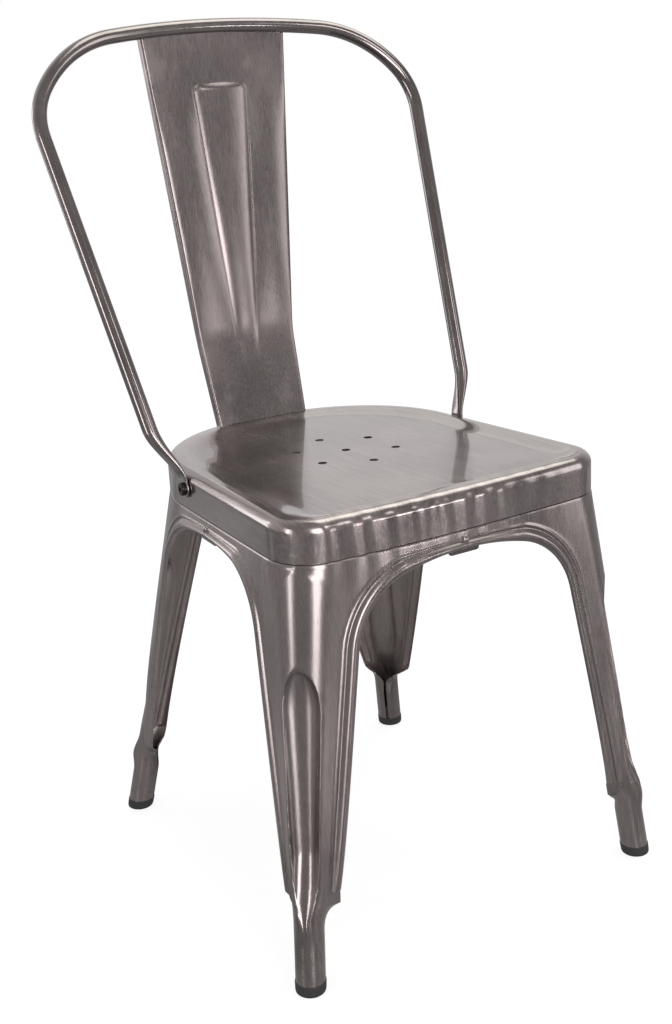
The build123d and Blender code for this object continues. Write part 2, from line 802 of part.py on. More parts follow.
# ---- screws through the tabs and the skirt ----
with BuildPart() as hoop_bolt:
    with BuildSketch(bolt_plane(tab_thickness)):
        Circle(bolt_head_radius)
    extrude(amount=bolt_head_height)
    fillet(hoop_bolt.faces().sort_by(Axis(bolt_plane().origin, bolt_plane().z_dir))[-1].edges(), bolt_head_edge)
    with BuildSketch(bolt_plane(tab_thickness + bolt_head_height)):
        RegularPolygon(socket_radius, 6)
    extrude(amount=-socket_depth, mode=Mode.SUBTRACT)
    with BuildSketch(bolt_plane(tab_thickness)):
        Circle(bolt_radius)
    extrude(amount=-bolt_length)
write_pair(hoop_bolt.part, "hoop_bolt")

with BuildPart() as hoop_washer:
    with BuildSketch(bolt_plane(-seat_sheet)):
        Circle(washer_radius)
        Circle(bolt_radius + bolt_clearance, mode=Mode.SUBTRACT)
    extrude(amount=-washer_thickness)
write_pair(hoop_washer.part, "hoop_washer")

with BuildPart() as hoop_nut:
    with BuildSketch(bolt_plane(-seat_sheet - washer_thickness)):
        RegularPolygon(nut_radius, 6)
        Circle(bolt_radius + bolt_clearance, mode=Mode.SUBTRACT)
    extrude(amount=-nut_height)
write_pair(hoop_nut.part, "hoop_nut")


# ---- back splat: bent sheet, folded edges, tapered rib ----
splat_foot_z = rim_z(splat_foot_y) + splat_weld_gap
splat_lean = Vector(0, splat_top_y - splat_bend_y, splat_top_z - splat_bend_z).normalized()
rib_plane = Plane(
    origin=(0, splat_bend_y, splat_bend_z),
    x_dir=(1, 0, 0),
    z_dir=(0, -splat_lean.Z, splat_lean.Y),
)


def splat_slab(thickness):
    # slab behind the splat's front face
    route = ((splat_top_y, splat_top_z), (splat_bend_y, splat_bend_z), (splat_foot_y, splat_foot_z))
    back_route = [(y + thickness, z) for y, z in route]
    with BuildPart(mode=Mode.PRIVATE) as slab:
        with BuildSketch(Plane.YZ):
            with BuildLine():
                front = FilletPolyline(*route, radius=splat_bend_radius)
                back = FilletPolyline(*back_route, radius=splat_bend_radius)
                Line(front @ 0, back @ 0)
                Line(front @ 1, back @ 1)
            make_face()
        extrude(amount=wall_reach, both=True)
    return slab.part


def splat_outline(inset, overrun):
    # the splat seen from the front, cut straight through
    high = splat_top_z + overrun
    low = splat_foot_z - overrun
    top_half = splat_top_half_width - inset
    bend_half = splat_bend_half_width - inset
    foot_half = splat_foot_half_width - inset
    right_side = [(foot_half, low), (bend_half, splat_bend_z), (top_half, high)]
    left_side = [(-x, z) for x, z in reversed(right_side)]
    with BuildPart(mode=Mode.PRIVATE) as outline:
        with BuildSketch(Plane.XZ):
            Polygon(*right_side, *left_side, align=None)
        extrude(amount=wall_reach * 2, both=True)
    return outline.part


def rib_block(setback):
    # tapered rib with sloping walls, raised from a plane set back from the splat's face
    rise = (rib_top_z - splat_bend_z) / splat_lean.Z
    drop = (rib_foot_z - splat_bend_z) / splat_lean.Z
    right_side = [(rib_foot_half_width, drop), (rib_top_half_width, rise)]
    left_side = [(-x, y) for x, y in reversed(right_side)]
    with BuildPart(mode=Mode.PRIVATE) as rib:
        with BuildSketch(rib_plane.offset(-setback)) as rib_face:
            Polygon(*right_side, *left_side, align=None)
            top_corners = rib_face.vertices().sort_by(Axis.Z)[-2:]
            fillet(top_corners, rib_corner_radius)
        extrude(amount=rib_height, taper=rib_draft)
    return rib.part


with BuildPart(mode=Mode.PRIVATE) as hoop_space:
    with BuildLine():
        bend(hoop_shoulder, hoop_crown, hoop_apex, hoop_crown_x)
    with BuildSketch(Plane(origin=hoop_apex, x_dir=(0, 1, 0), z_dir=(1, 0, 0))):
        Circle(hoop_tube_radius + splat_weld_gap)
    sweep()
    mirror(about=Plane.YZ)

with BuildPart(mode=Mode.PRIVATE) as splat_flanges:
    add(splat_slab(splat_flange))
    add(splat_outline(0.0, 0.0), mode=Mode.INTERSECT)
    add(splat_outline(splat_sheet, splat_flange), mode=Mode.SUBTRACT)

with BuildPart() as back_splat:
    add(splat_slab(splat_sheet))
    add(splat_outline(0.0, 0.0), mode=Mode.INTERSECT)
    add(splat_flanges.part)
    add(rib_block(0.0))
    add(rib_block(splat_sheet), mode=Mode.SUBTRACT)
    add(hoop_space.part, mode=Mode.SUBTRACT)
write(back_splat.part, "back_splat")
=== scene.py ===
from math import acos, atan2, copysign, cos, pi, radians, sin, sqrt, tan

import bpy
import numpy as np
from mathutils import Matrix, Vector


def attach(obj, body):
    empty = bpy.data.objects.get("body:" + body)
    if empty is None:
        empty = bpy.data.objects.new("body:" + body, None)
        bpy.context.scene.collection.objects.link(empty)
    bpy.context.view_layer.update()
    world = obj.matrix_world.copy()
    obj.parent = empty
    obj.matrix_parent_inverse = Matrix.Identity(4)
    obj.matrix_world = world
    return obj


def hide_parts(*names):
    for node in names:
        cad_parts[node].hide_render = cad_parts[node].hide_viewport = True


# Stacking metal chair. Sizes are in millimetres, scaled to metres when the points are laid.
# X is across the chair, -Y is the front, Z is up.

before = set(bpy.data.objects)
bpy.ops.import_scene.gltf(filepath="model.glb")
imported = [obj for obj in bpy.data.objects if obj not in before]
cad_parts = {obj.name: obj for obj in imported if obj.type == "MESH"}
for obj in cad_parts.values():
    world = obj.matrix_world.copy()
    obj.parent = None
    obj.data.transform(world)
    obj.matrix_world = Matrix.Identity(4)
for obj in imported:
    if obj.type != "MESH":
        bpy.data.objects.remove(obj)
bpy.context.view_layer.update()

mm = 0.001
sheet = 1.2  # thickness of all pressed sheet
mergeReach = 0.02  # points closer than this become one

print("stage: shapes")


def mix(low, high, share):
    return low + (high - low) * share


def clamp(value, low=0.0, high=1.0):
    return max(low, min(high, value))


def ease(value):
    value = clamp(value)
    return value * value * (3 - 2 * value)


def eased(value, span):
    # eased share of the way through a span that has a start and a run
    start, run = span
    return ease((value - start) / run)


def hump(value, low, lowRun, high, highRun):
    # rises over a run above the low end and falls over a run below the high end
    return ease((value - low) / lowRun) * ease((high - value) / highRun)


def softMax(first, second, reach):
    near = max(reach - abs(first - second), 0.0) / reach
    return max(first, second) + near * near * reach / 4


def through(knots, value, blur):
    # run through (place, height) knots, with its corners rounded over the blur
    places, heights = zip(*knots)
    spots = [value + blur * offset for offset in (-1.0, -0.5, 0.0, 0.5, 1.0)]
    return float(np.mean(np.interp(spots, places, heights)))


def steps(low, high, count):
    # count places after low, up to and including high
    return [mix(low, high, (index + 1) / count) for index in range(count)]


def turn(angle):
    return np.array((cos(angle), sin(angle)))


def nearAngle(angle, base):
    # the same direction, written within half a turn of the base
    return angle - 2 * pi * round((angle - base) / (2 * pi))


def unit(vector):
    return vector / np.linalg.norm(vector)


def pick(*pieces):
    bpy.ops.object.select_all(action="DESELECT")
    for piece in pieces:
        piece.select_set(True)
    bpy.context.view_layer.objects.active = pieces[0]


def layGrid(name, columns, rows, place):
    # grid whose points are laid by place(column, row)
    bpy.ops.object.select_all(action="DESELECT")
    bpy.ops.mesh.primitive_grid_add(x_subdivisions=columns - 1, y_subdivisions=rows - 1, size=1)
    piece = bpy.context.object
    piece.name = name
    for point in piece.data.vertices:
        column = round((point.co.x + 0.5) * (columns - 1))
        row = round((point.co.y + 0.5) * (rows - 1))
        point.co = Vector([float(value) * mm for value in place(column, row)])
    return piece


def layRows(name, rows, flip=1.0):
    return layGrid(name, len(rows[0]), len(rows), lambda column, row: np.array(rows[row][column]) * flip)


def joinPieces(name, pieces):
    pick(*pieces)
    if len(pieces) > 1:
        bpy.ops.object.join()
    piece = bpy.context.object
    piece.name = name
    return piece


def editMesh(piece, *changes):
    # makes each change to the whole mesh
    pick(piece)
    bpy.ops.object.mode_set(mode="EDIT")
    bpy.ops.mesh.select_all(action="SELECT")
    for change in changes:
        change()
    bpy.ops.object.mode_set(mode="OBJECT")


def modify(piece, kind, **settings):
    # adds a modifier and applies it
    pick(piece)
    bpy.ops.object.modifier_add(type=kind)
    modifier = piece.modifiers[-1]
    for name, value in settings.items():
        setattr(modifier, name, value)
    bpy.ops.object.modifier_apply(modifier=modifier.name)


def mergePoints(piece):
    def merge():
        bpy.ops.mesh.remove_doubles(threshold=mergeReach * mm)

    editMesh(piece, merge, bpy.ops.mesh.normals_make_consistent)


def faceTowards(piece, towards):
    # turns all faces so that, on the whole, they look along towards(face centre)
    faces = piece.data.polygons
    if sum(face.normal.dot(Vector(towards(face.center / mm))) * face.area for face in faces) < 0:
        editMesh(piece, bpy.ops.mesh.flip_normals)


def thicken(piece, thickness=sheet):
    # the laid surface is the outer one; inner faces take the second material
    piece.data.materials.append(None)
    piece.data.materials.append(None)
    modify(
        piece,
        "SOLIDIFY",
        thickness=thickness * mm,
        offset=-1,
        use_even_offset=False,
        use_quality_normals=True,
        material_offset=1,
    )


def smoothShade(piece, angle=40.0):
    pick(piece)
    bpy.ops.object.shade_smooth_by_angle(angle=radians(angle))


def finishSheet(piece, towards, angle=40.0, thickness=sheet):
    # laid grids become one thick sheet with its outer side along towards(face centre)
    mergePoints(piece)
    faceTowards(piece, towards)
    thicken(piece, thickness)
    smoothShade(piece, angle)
    return piece


def mirrorPiece(piece, name):
    # the same piece for the other side, with its own mesh
    pick(piece)
    bpy.ops.object.duplicate(linked=False)
    twin = bpy.context.object
    twin.name = name
    for point in twin.data.vertices:
        point.co.x = -point.co.x
    twin.data.flip_normals()
    return twin


plan = {
    # outline of the seat, seen from above
    "frontY": -196.0,
    "rearY": 184.5,
    "halfWidth": 182.0,
    "taper": 4.3,
    "frontBow": 1900.0,
    "rearBow": 700.0,
    "frontCorner": 40.0,
    "rearCorner": 148.0,
    "jointY": -12.0,
    "underside": 394.5,
}
taper = radians(plan["taper"])
sideNormal = turn(taper)


def sideX(y, inset=0.0):
    return plan["halfWidth"] - tan(taper) * (y - plan["frontY"]) - inset / cos(taper)


def cornerCircle(facing):
    # centre, radius and angle towards the bow, for the corner circle between side and bow
    end = "front" if facing < 0 else "rear"
    endY, bow, radius = plan[end + "Y"], plan[end + "Bow"], plan[end + "Corner"]
    bowCentre = np.array((0.0, endY - facing * bow))
    along = np.array((-sideNormal[1], sideNormal[0]))
    foot = sideNormal * (sideX(0.0) * sideNormal[0] - radius)
    half = along @ bowCentre
    rest = (foot - bowCentre) @ (foot - bowCentre) - (bow - radius) ** 2
    centre = foot + along * (half + facing * sqrt(half**2 - rest))
    away = centre - bowCentre
    return centre, radius, atan2(away[1], away[0]), bowCentre, bow


leg = {
    "footZ": 88.0,  # lower end of the open shell
    "collarZ": 390.0,
    "tubeTop": 64.0,
    "tubeFoot": 10.5,
    "tubeRadius": 14.0,
    "seamHalfAngle": 6.0,
    "archTop": 376.5,
    "crown": 270.0,
    "shoulder": 74.0,
    "springZ": 318.0,
    "beadWidth": 18.0,
    "beadMost": 0.8,  # most of a row that the bead takes
    "beadFade": (0.4, 3.0),
    "ledgeEase": (84.5, 3.5),
    "jointGap": 0.15,
    "overrun": 12.0,
    "bulgeHeights": (48.0, 22.0, 104.0, 26.0),
    "bulgeReach": (16.0, 12.0),
    "shellZ": 100.0,  # above it the leg is open
    "crease": 42.0,
}
flute = {
    "top": 300.0,
    "wide": 262.0,
    "start": (60.0, 8.0),
    "depth": 14.0,
    "deepening": (62.0, 68.0),
    "softness": (2.2, 1.6),
    "lipHeights": (95.0, 60.0, 300.0, 90.0),
    "lipStart": 0.8,
    "lipWidth": 12.0,
    "lipFade": 13.0,
    "spreading": (90.0, 120.0),
    "headWidth": 19.0,
    "headHeight": 46.0,
    "least": 2.5,
    "leastThroat": 2.2,
    "leastHead": 11.0,
    "most": 0.75,  # most of a row that the flute takes
    "plainShare": 0.3,
    "widths": [
        # height, half width
        (64.0, 0.5), (70.0, 2.6), (77.0, 5.4), (84.0, 7.7), (92.0, 9.8), (103.0, 11.8),
        (130.0, 13.9), (160.0, 15.0), (196.0, 16.2), (230.0, 17.8), (262.0, 19.0),
    ],
    "blur": 7.0,
}
frontLeg = {
    "facing": -1,
    "ledge": (0.28, 0.08),  # side wing, end wing
    "late": (0.0, 11.0),  # how much lower each wing closes
    "lift": 0.4,
    "bulge": 3.2,
    "spread": 1.0,
    "foot": (199.6, -212.5),
    "shell": 18.0,  # corner radius at the foot of the shell
    "sideTip": (198.5, -180.5),
    "endTip": (161.0, -210.0),
    "archSide": -121.0,
    "archEnd": -120.0,
    "middleSide": -17.0,
}
rearLeg = {
    "facing": 1,
    "ledge": (0.0, 0.0),
    "late": (0.0, 0.0),
    "lift": -3.6,
    "bulge": 3.6,
    "spread": 1.32,
    "foot": (173.8, 200.7),
    "shell": 21.0,
    "sideTip": (172.6, 154.0),
    "endTip": (136.0, 193.7),
    "archSide": -88.0,
    "archEnd": -71.0,
    "middleSide": 17.0,
}
# depth from the arch's edge, height
beadProfile = [(0.0, 0.2), (1.2, 1.5), (3.2, 2.8), (5.8, 3.3), (8.2, 2.8), (10.2, 1.4)]
beadProfile += [(11.8, 0.0), (13.0, -0.5), (14.2, 0.3), (15.4, 0.8), (16.6, 0.4), (18.0, 0.0)]
beadBlur = 0.5
# rise above the leg's collar, inset
collarProfile = [(0.0, 0.0), (1.6, 0.0), (2.6, 0.08), (3.3, 0.35), (3.75, 0.8), (3.95, 1.5)]
collarProfile += [(7.0, 1.5), (14.0, 1.5)]
collarReach = 4.5
beadColumns = [0.0, 0.6, 1.2, 2.1, 3.2, 4.5, 5.8, 7.0, 8.2, 9.2, 10.2, 11.0]
beadColumns += [11.8, 12.4, 13.0, 13.6, 14.2, 14.8, 15.4, 16.0, 16.6, 17.3, 18.0]
fluteColumns = [0.0, 0.12, 0.24, 0.36, 0.48, 0.6, 0.7, 0.77, 0.82, 0.85, 0.875]
fluteColumns += [0.9, 0.925, 0.95, 0.975, 1.0, 1.03, 1.08, 1.15, 1.25, 1.4]
middleColumns = 9
# heights of the rows that start on the corner line
cornerZs = [leg["footZ"] + step for step in (0.0, 0.8, 1.6, 2.4, 3.2, 4.2, 5.6, 7.6)]
for rowTop, rowCount in ((258.0, 58), (318.0, 30), (leg["collarZ"], 22)):
    cornerZs += steps(cornerZs[-1], rowTop, rowCount)
seamRows = 16
crownRows = {"side": 24, "end": 30}
throatRows = ((84.4, 6), (leg["tubeTop"] - 2.0, 24), (leg["tubeFoot"], 14))
cornerSamples = 25
archSamples = 60


def fluteWidth(z):
    return through(flute["widths"], z, flute["blur"])


def spreadWidth(z, spread):
    # width of the flute, wider near the foot
    return fluteWidth(z) * mix(spread, 1.0, eased(z, flute["spreading"]))


class Leg:
    # geometry of one right-hand leg
    def __init__(self, values):
        self.values = values
        self.facing = values["facing"]
        self.outward = np.array((sqrt(0.5), self.facing * sqrt(0.5)))
        self.across = np.array((-self.outward[1], self.outward[0]))
        self.start = np.array(values["foot"]) + self.outward * leg["tubeRadius"]
        centre, radius, bowAngle, bowCentre, bow = cornerCircle(self.facing)
        self.apex = centre + unit(sideNormal + turn(bowAngle)) * radius
        self.halves = {kind: self.half(kind) for kind in ("side", "end")}

    def corner(self, z):
        return self.start + (self.apex - self.start) * (z / plan["underside"])

    def half(self, kind):
        # matching points of the foot and top sections, from the corner line out to the wing's tip
        centre, radius, bowAngle, bowCentre, bow = cornerCircle(self.facing)
        onSide = kind == "side"
        endAngle = taper if onSide else bowAngle
        shell = self.values["shell"]
        tip = np.array(self.values[kind + "Tip"])
        footCentre = self.corner(leg["footZ"]) - self.outward * shell
        run = tip - footCentre
        side = self.facing if onSide else -self.facing
        footApex = atan2(self.outward[1], self.outward[0])
        leave = nearAngle(atan2(run[1], run[0]) + side * acos(shell / np.linalg.norm(run)), footApex)
        apexRun = self.apex - centre
        topApex = atan2(apexRun[1], apexRun[0])
        shares = np.linspace(0, 1, cornerSamples)
        foot = [footCentre + turn(mix(footApex, leave, share)) * shell for share in shares]
        top = [centre + turn(mix(topApex, endAngle, share)) * radius for share in shares]
        footEnd, topEnd = foot[-1], top[-1]
        tipY = plan["jointY"] - self.facing * leg["overrun"]
        sideTip = np.array((sideX(tipY), tipY))
        bowTip = atan2(self.facing * bow, -leg["overrun"])
        for share in np.linspace(0, 1, archSamples)[1:]:
            foot.append(mix(footEnd, tip, share))
            if onSide:
                top.append(mix(topEnd, sideTip, share))
            else:
                top.append(bowCentre + turn(mix(endAngle, bowTip, share)) * bow)
        footA, jointA, middle = -tip[0], 0.0, 0.0
        if onSide:
            footA, jointA = -self.facing * tip[1], -self.facing * plan["jointY"]
            middle = self.values["middleSide"]
        arch = archOutline(footA, self.values["arch" + kind.capitalize()], middle, jointA - leg["jointGap"])
        return {"kind": kind, "foot": np.array(foot), "top": np.array(top), "arch": arch}

    def running(self, half, points):
        # the coordinate that runs from the corner towards the joint
        return -self.facing * points[..., 1] if half["kind"] == "side" else -points[..., 0]

    def section(self, half, z):
        share = (z - leg["footZ"]) / (plan["underside"] - leg["footZ"])
        return half["foot"] + (half["top"] - half["foot"]) * share

    def place(self, half, a, z):
        # point of the plain surface at running coordinate a
        section = self.section(half, z)
        runs = self.running(half, section)
        other = section[:, 0] if half["kind"] == "side" else section[:, 1]
        value = float(np.interp(a, runs, other))
        return np.array((value, -self.facing * a, z) if half["kind"] == "side" else (-a, value, z))

    def offCorner(self, half, reach, z):
        # running coordinate where the surface is reach away from the corner line, across it
        section = self.section(half, z)
        away = np.abs((section - self.corner(z)) @ self.across)
        return float(np.interp(reach, away, self.running(half, section)))

    def normal(self, half, a, z):
        # outward normal of the plain surface
        small = 0.4
        alongA = self.place(half, a + small, z) - self.place(half, a - small, z)
        alongZ = self.place(half, a, z + small) - self.place(half, a, z - small)
        normal = unit(np.cross(alongA, alongZ))
        return normal if normal[:2] @ self.outward > 0 else -normal

    def press(self, point):
        # presses the flute into the corner
        x, y, z = point
        away = np.array((x, y)) - self.corner(z)
        reach = abs(float(away @ self.across))
        base = -float(away @ self.outward)
        width = spreadWidth(z, self.values["spread"])
        # the pressing pushes the lips outwards
        lifted = self.values["lift"] * hump(z, *flute["lipHeights"])
        lifted *= hump(reach, 0.0, flute["lipStart"] * width, width + flute["lipWidth"], flute["lipFade"])
        plain = base - min(lifted, base)
        rise = clamp((z - flute["wide"]) / (flute["top"] - flute["wide"]), 0.0, 2.0)
        radius = sqrt((reach / width) ** 2 + rise**2)
        deepStart, deepRun = flute["deepening"]
        depth = flute["depth"] * clamp((z - deepStart) / deepRun)
        if radius < 1:
            pressed = depth * sqrt(1 - radius**2)
        else:
            pressed = -2 * max(depth, 1.0) * (radius - 1)
        soft, softer = flute["softness"]
        sunk = softMax(plain, pressed, soft + softer * ease(rise)) - base
        sunk *= eased(z, flute["start"])
        # the corner stands proud where the shell closes into the tube
        far, farRun = leg["bulgeReach"]
        sunk -= self.values["bulge"] * hump(z, *leg["bulgeHeights"]) * ease((far - reach) / farRun)
        return np.array((x - self.outward[0] * sunk, y - self.outward[1] * sunk, z))


def archOutline(footA, springA, middle, jointA):
    # lower edge of a wing: straight, round shoulder, flat crown up to the joint
    foot = np.array((footA, leg["footZ"]))
    along = unit(np.array((springA, leg["springZ"])) - foot)
    inward = np.array((along[1], -along[0]))
    crownCentre = np.array((middle, leg["archTop"] - leg["crown"]))
    base = foot + inward * leg["shoulder"] - crownCentre
    half = base @ along
    shift = -half + sqrt(half**2 - base @ base + (leg["crown"] - leg["shoulder"]) ** 2)
    centre = crownCentre + base + along * shift
    away = centre - crownCentre
    return {
        "foot": foot,
        "straightTop": centre - inward * leg["shoulder"],
        "centre": centre,
        "endAngle": atan2(away[1], away[0]) % (2 * pi),
        "crownCentre": crownCentre,
        "jointAngle": acos((jointA - middle) / leg["crown"]),
    }


def halfRows(shape, half):
    # pairs of (arch point, outer point) in (running, z); outer points climb the corner, then follow the seam
    arch = half["arch"]
    top = leg["collarZ"]

    def cornerPoint(z):
        return np.array((float(shape.running(half, shape.corner(z))), z))

    def offSpoke(z):
        gap = cornerPoint(z) - arch["centre"]
        return spoke[0] * gap[1] - spoke[1] * gap[0]

    # height on the corner line that the shoulder's first spoke meets
    spoke = arch["straightTop"] - arch["centre"]
    switch = top * offSpoke(0.0) / (offSpoke(0.0) - offSpoke(top))
    rows = []
    for z in cornerZs:
        outer = cornerPoint(z)
        if z <= switch:
            share = (z - leg["footZ"]) / (switch - leg["footZ"])
            inner = mix(arch["foot"], arch["straightTop"], share)
        else:
            inner = arch["centre"] + unit(outer - arch["centre"]) * leg["shoulder"]
        rows.append((inner, outer))
    away = cornerPoint(top) - arch["centre"]
    seam = steps(atan2(away[1], away[0]) % (2 * pi), arch["endAngle"], seamRows)
    crown = steps(arch["endAngle"], arch["jointAngle"], crownRows[half["kind"]])
    for arc, centre, radius in ((seam, "centre", "shoulder"), (crown, "crownCentre", "crown")):
        centre = arch[centre]
        for angle in arc:
            reach = (top - centre[1]) / sin(angle)
            rows.append((centre + turn(angle) * leg[radius], centre + turn(angle) * reach))
    # the last row stands upright at the joint
    jointA = arch["crownCentre"][0] + cos(arch["jointAngle"]) * leg["crown"]
    rows[-1] = (rows[-1][0], np.array((jointA, top)))
    return rows


def rowColumns(shape, half, inner, outer, onCorner):
    # (point, depth in the bead) of each column, from the corner line to the arch's edge
    beadShare = min(leg["beadWidth"] / np.linalg.norm(outer - inner), leg["beadMost"])
    beadEdge = mix(inner, outer, beadShare)
    outerA, z = outer
    run = beadEdge[0] - outerA
    width = max(spreadWidth(z, shape.values["spread"]), flute["least"])
    above = (z - flute["wide"]) / flute["headHeight"]
    if above > 0:
        width = max(flute["headWidth"] * sqrt(max(0.0, 1 - above**2)), flute["leastHead"])
    fluteShare = flute["plainShare"]
    if onCorner:
        reachA = shape.offCorner(half, width * fluteColumns[-1], z) - outerA
        fluteShare = min(reachA / max(run, 0.1), flute["most"])
    line = []
    for column in fluteColumns:
        if onCorner and fluteShare < flute["most"]:
            share = (shape.offCorner(half, width * column, z) - outerA) / run
        else:
            share = fluteShare * column / fluteColumns[-1]
        line.append((mix(outer, beadEdge, share), None))
    line += [(mix(outer, beadEdge, share), None) for share in steps(fluteShare, 1.0, middleColumns + 1)[:-1]]
    line += [(mix(inner, beadEdge, depth / leg["beadWidth"]), depth) for depth in reversed(beadColumns)]
    return line


def laySheet(shape, half, rows, name):
    # one wing with half of the corner; column 0 lies on the corner line
    grid = []
    for index, (inner, outer) in enumerate(rows):
        fade = eased(inner[1] - leg["footZ"], leg["beadFade"])
        points = []
        for (a, z), depth in rowColumns(shape, half, inner, outer, index < len(cornerZs)):
            point = shape.place(half, a, z)
            if depth is not None:
                point = point + shape.normal(half, a, z) * through(beadProfile, depth, beadBlur) * fade
            points.append(shape.press(point))
        grid.append(points)
    return layRows(name, grid)


def layCollar(shape, half, rows, name):
    # rounded top edge of the wing and the flange that tucks inside the seat's skirt
    outers = [outer for inner, outer in rows[len(cornerZs) - 1 :]]

    def placeCollar(column, row):
        a = outers[column][0]
        rise, inset = collarProfile[row]
        normal = shape.normal(half, a, leg["collarZ"])
        point = shape.place(half, a, leg["collarZ"] + min(rise, collarReach)) - normal * inset
        point[2] = leg["collarZ"] + rise
        return point

    return layGrid(name, len(outers), len(collarProfile), placeCollar)


def layThroat(shape, name):
    # the open shell closes into the rolled tube with its seam on the inner side
    base = []
    # columns run from the side tip around the corner to the end tip
    for kind, sign in (("side", 1), ("end", -1)):
        half = shape.halves[kind]
        inner, outer = halfRows(shape, half)[0]
        line = rowColumns(shape, half, inner, outer, True)
        points = [shape.place(half, a, z)[:2] for (a, z), depth in line]
        lengths = np.cumsum([0.0] + [float(np.linalg.norm(b - a)) for a, b in zip(points, points[1:])])
        entries = [(point, sign * share) for point, share in zip(points, lengths / lengths[-1])]
        base = entries[::-1] if not base else base + entries[1:]
    heights = [leg["footZ"]]
    for z, count in throatRows:
        heights += steps(heights[-1], z, count)
    outwardAngle = atan2(shape.outward[1], shape.outward[0])
    lip = pi - radians(leg["seamHalfAngle"])

    # from the end tip to the side tip, as np.interp wants rising places
    baseShares = [along for point, along in reversed(base)]
    baseX = [point[0] for point, along in reversed(base)]
    baseY = [point[1] for point, along in reversed(base)]
    middle = len(base) // 2
    lips = (baseShares[middle - len(fluteColumns) + 1], baseShares[middle + len(fluteColumns) - 1])
    narrow = fluteWidth(leg["footZ"])

    def placeThroat(column, row):
        # the columns draw together with the lips of the flute
        z = heights[row]
        squeeze = max(fluteWidth(z), flute["leastThroat"]) / narrow
        squeezed = (-1.0, lips[0] * squeeze, lips[1] * squeeze, 1.0)
        along = float(np.interp(base[column][1], (-1.0, *lips, 1.0), squeezed))
        point = np.array((np.interp(along, baseShares, baseX), np.interp(along, baseShares, baseY)))
        # either wing may close lower down than the other
        wing = 0 if along > 0 else 1
        lower = z + abs(along) * shape.values["late"][wing]
        share = clamp((lower - leg["tubeTop"]) / (leg["footZ"] - leg["tubeTop"]))
        opened = mix(share * share * (2 - share), eased(lower, leg["ledgeEase"]), shape.values["ledge"][wing])
        rolled = (turn(outwardAngle - along * shape.facing * lip) - shape.outward) * leg["tubeRadius"]
        place = shape.corner(z) + mix(rolled, point - shape.corner(leg["footZ"]), opened)
        return shape.press(np.array((place[0], place[1], z)))

    return layGrid(name, len(base), len(heights), placeThroat)


def makeLeg(values, name):
    shape = Leg(values)
    parts = []
    for kind, half in shape.halves.items():
        rows = halfRows(shape, half)
        parts.append(laySheet(shape, half, rows, name + kind))
        parts.append(layCollar(shape, half, rows, name + kind + "Collar"))
    parts.append(layThroat(shape, name + "Throat"))
    piece = joinPieces(name + "_right", parts)

    def outwards(centre):
        # only the open shell tells which side is the outer one
        return (*shape.outward, 0.0) if centre.z > leg["shellZ"] else (0.0, 0.0, 0.0)

    finishSheet(piece, outwards, leg["crease"])
    return piece, mirrorPiece(piece, name + "_left")


legFronts = makeLeg(frontLeg, "front_leg")
legRears = makeLeg(rearLeg, "rear_leg")
print("stage: legs", len(legFronts[0].data.vertices), len(legRears[0].data.vertices))


seat = {
    "foot": 394.95,
    "top": 433.0,
    "skirtRows": (395.4, 397.0, 402.0, 410.0, 417.0),
    "roll": 11.0,
    "recess": 3.8,
    "borders": (18.0, 18.0, 25.0, 26.0, 125.0),  # front, side, rear, then the front and the rear fillet
    "rim": (-0.5, -2.0, -2.0, 2.0, 2.0),  # what the slope's upper edge adds to all five
    "slope": (9.0, 23.0, 23.0, -6.0, -8.0),  # what its foot adds
    "rearFall": 2.0,
    "borderCrown": 0.5,
    "borderCurve": 1.5,
    "slopeCurve": 0.8,
    "fallStart": 60.0,
    "holeRadius": 4.5,
    "holeCircle": 50.2,
    "holeY": -1.0,
    "holes": 6,
}
# points along each stretch of the outline, then rings across each zone
ringCounts = {"bow": 26, "corner": 16, "side": 22, "rear": 34, "back": 6}
ringCounts.update({"roll": 12, "border": 5, "slope": 14})
floorShares = (0.04, 0.12, 0.25, 0.4, 0.55, 0.7, 0.85, 0.95, 1.0)


def linePoints(start, end, kind):
    count = ringCounts[kind]
    return [mix(start, end, (index + 0.5) / count) for index in range(count)]


def arcPoints(centre, radius, start, end, kind):
    return [centre + turn(angle) * radius for angle in linePoints(start, end, kind)]


def closeRing(half):
    return half + [np.array((-x, y)) for x, y in reversed(half)]


def seatRing(inset):
    # outline of the seat, from the middle of the front round to the middle of the rear and back
    centre, radius, bowAngle, bowCentre, bow = cornerCircle(-1)
    half = arcPoints(bowCentre, bow - inset, -pi / 2, bowAngle, "bow")
    half += arcPoints(centre, radius - inset, bowAngle, taper, "corner")
    sideStart = centre + sideNormal * (radius - inset)
    centre, radius, bowAngle, bowCentre, bow = cornerCircle(1)
    sideEnd = centre + sideNormal * (radius - inset)
    half += linePoints(sideStart, sideEnd, "side")
    half += arcPoints(centre, radius - inset, taper, bowAngle, "rear")
    half += arcPoints(bowCentre, bow - inset, bowAngle, pi / 2, "back")
    return closeRing(half)


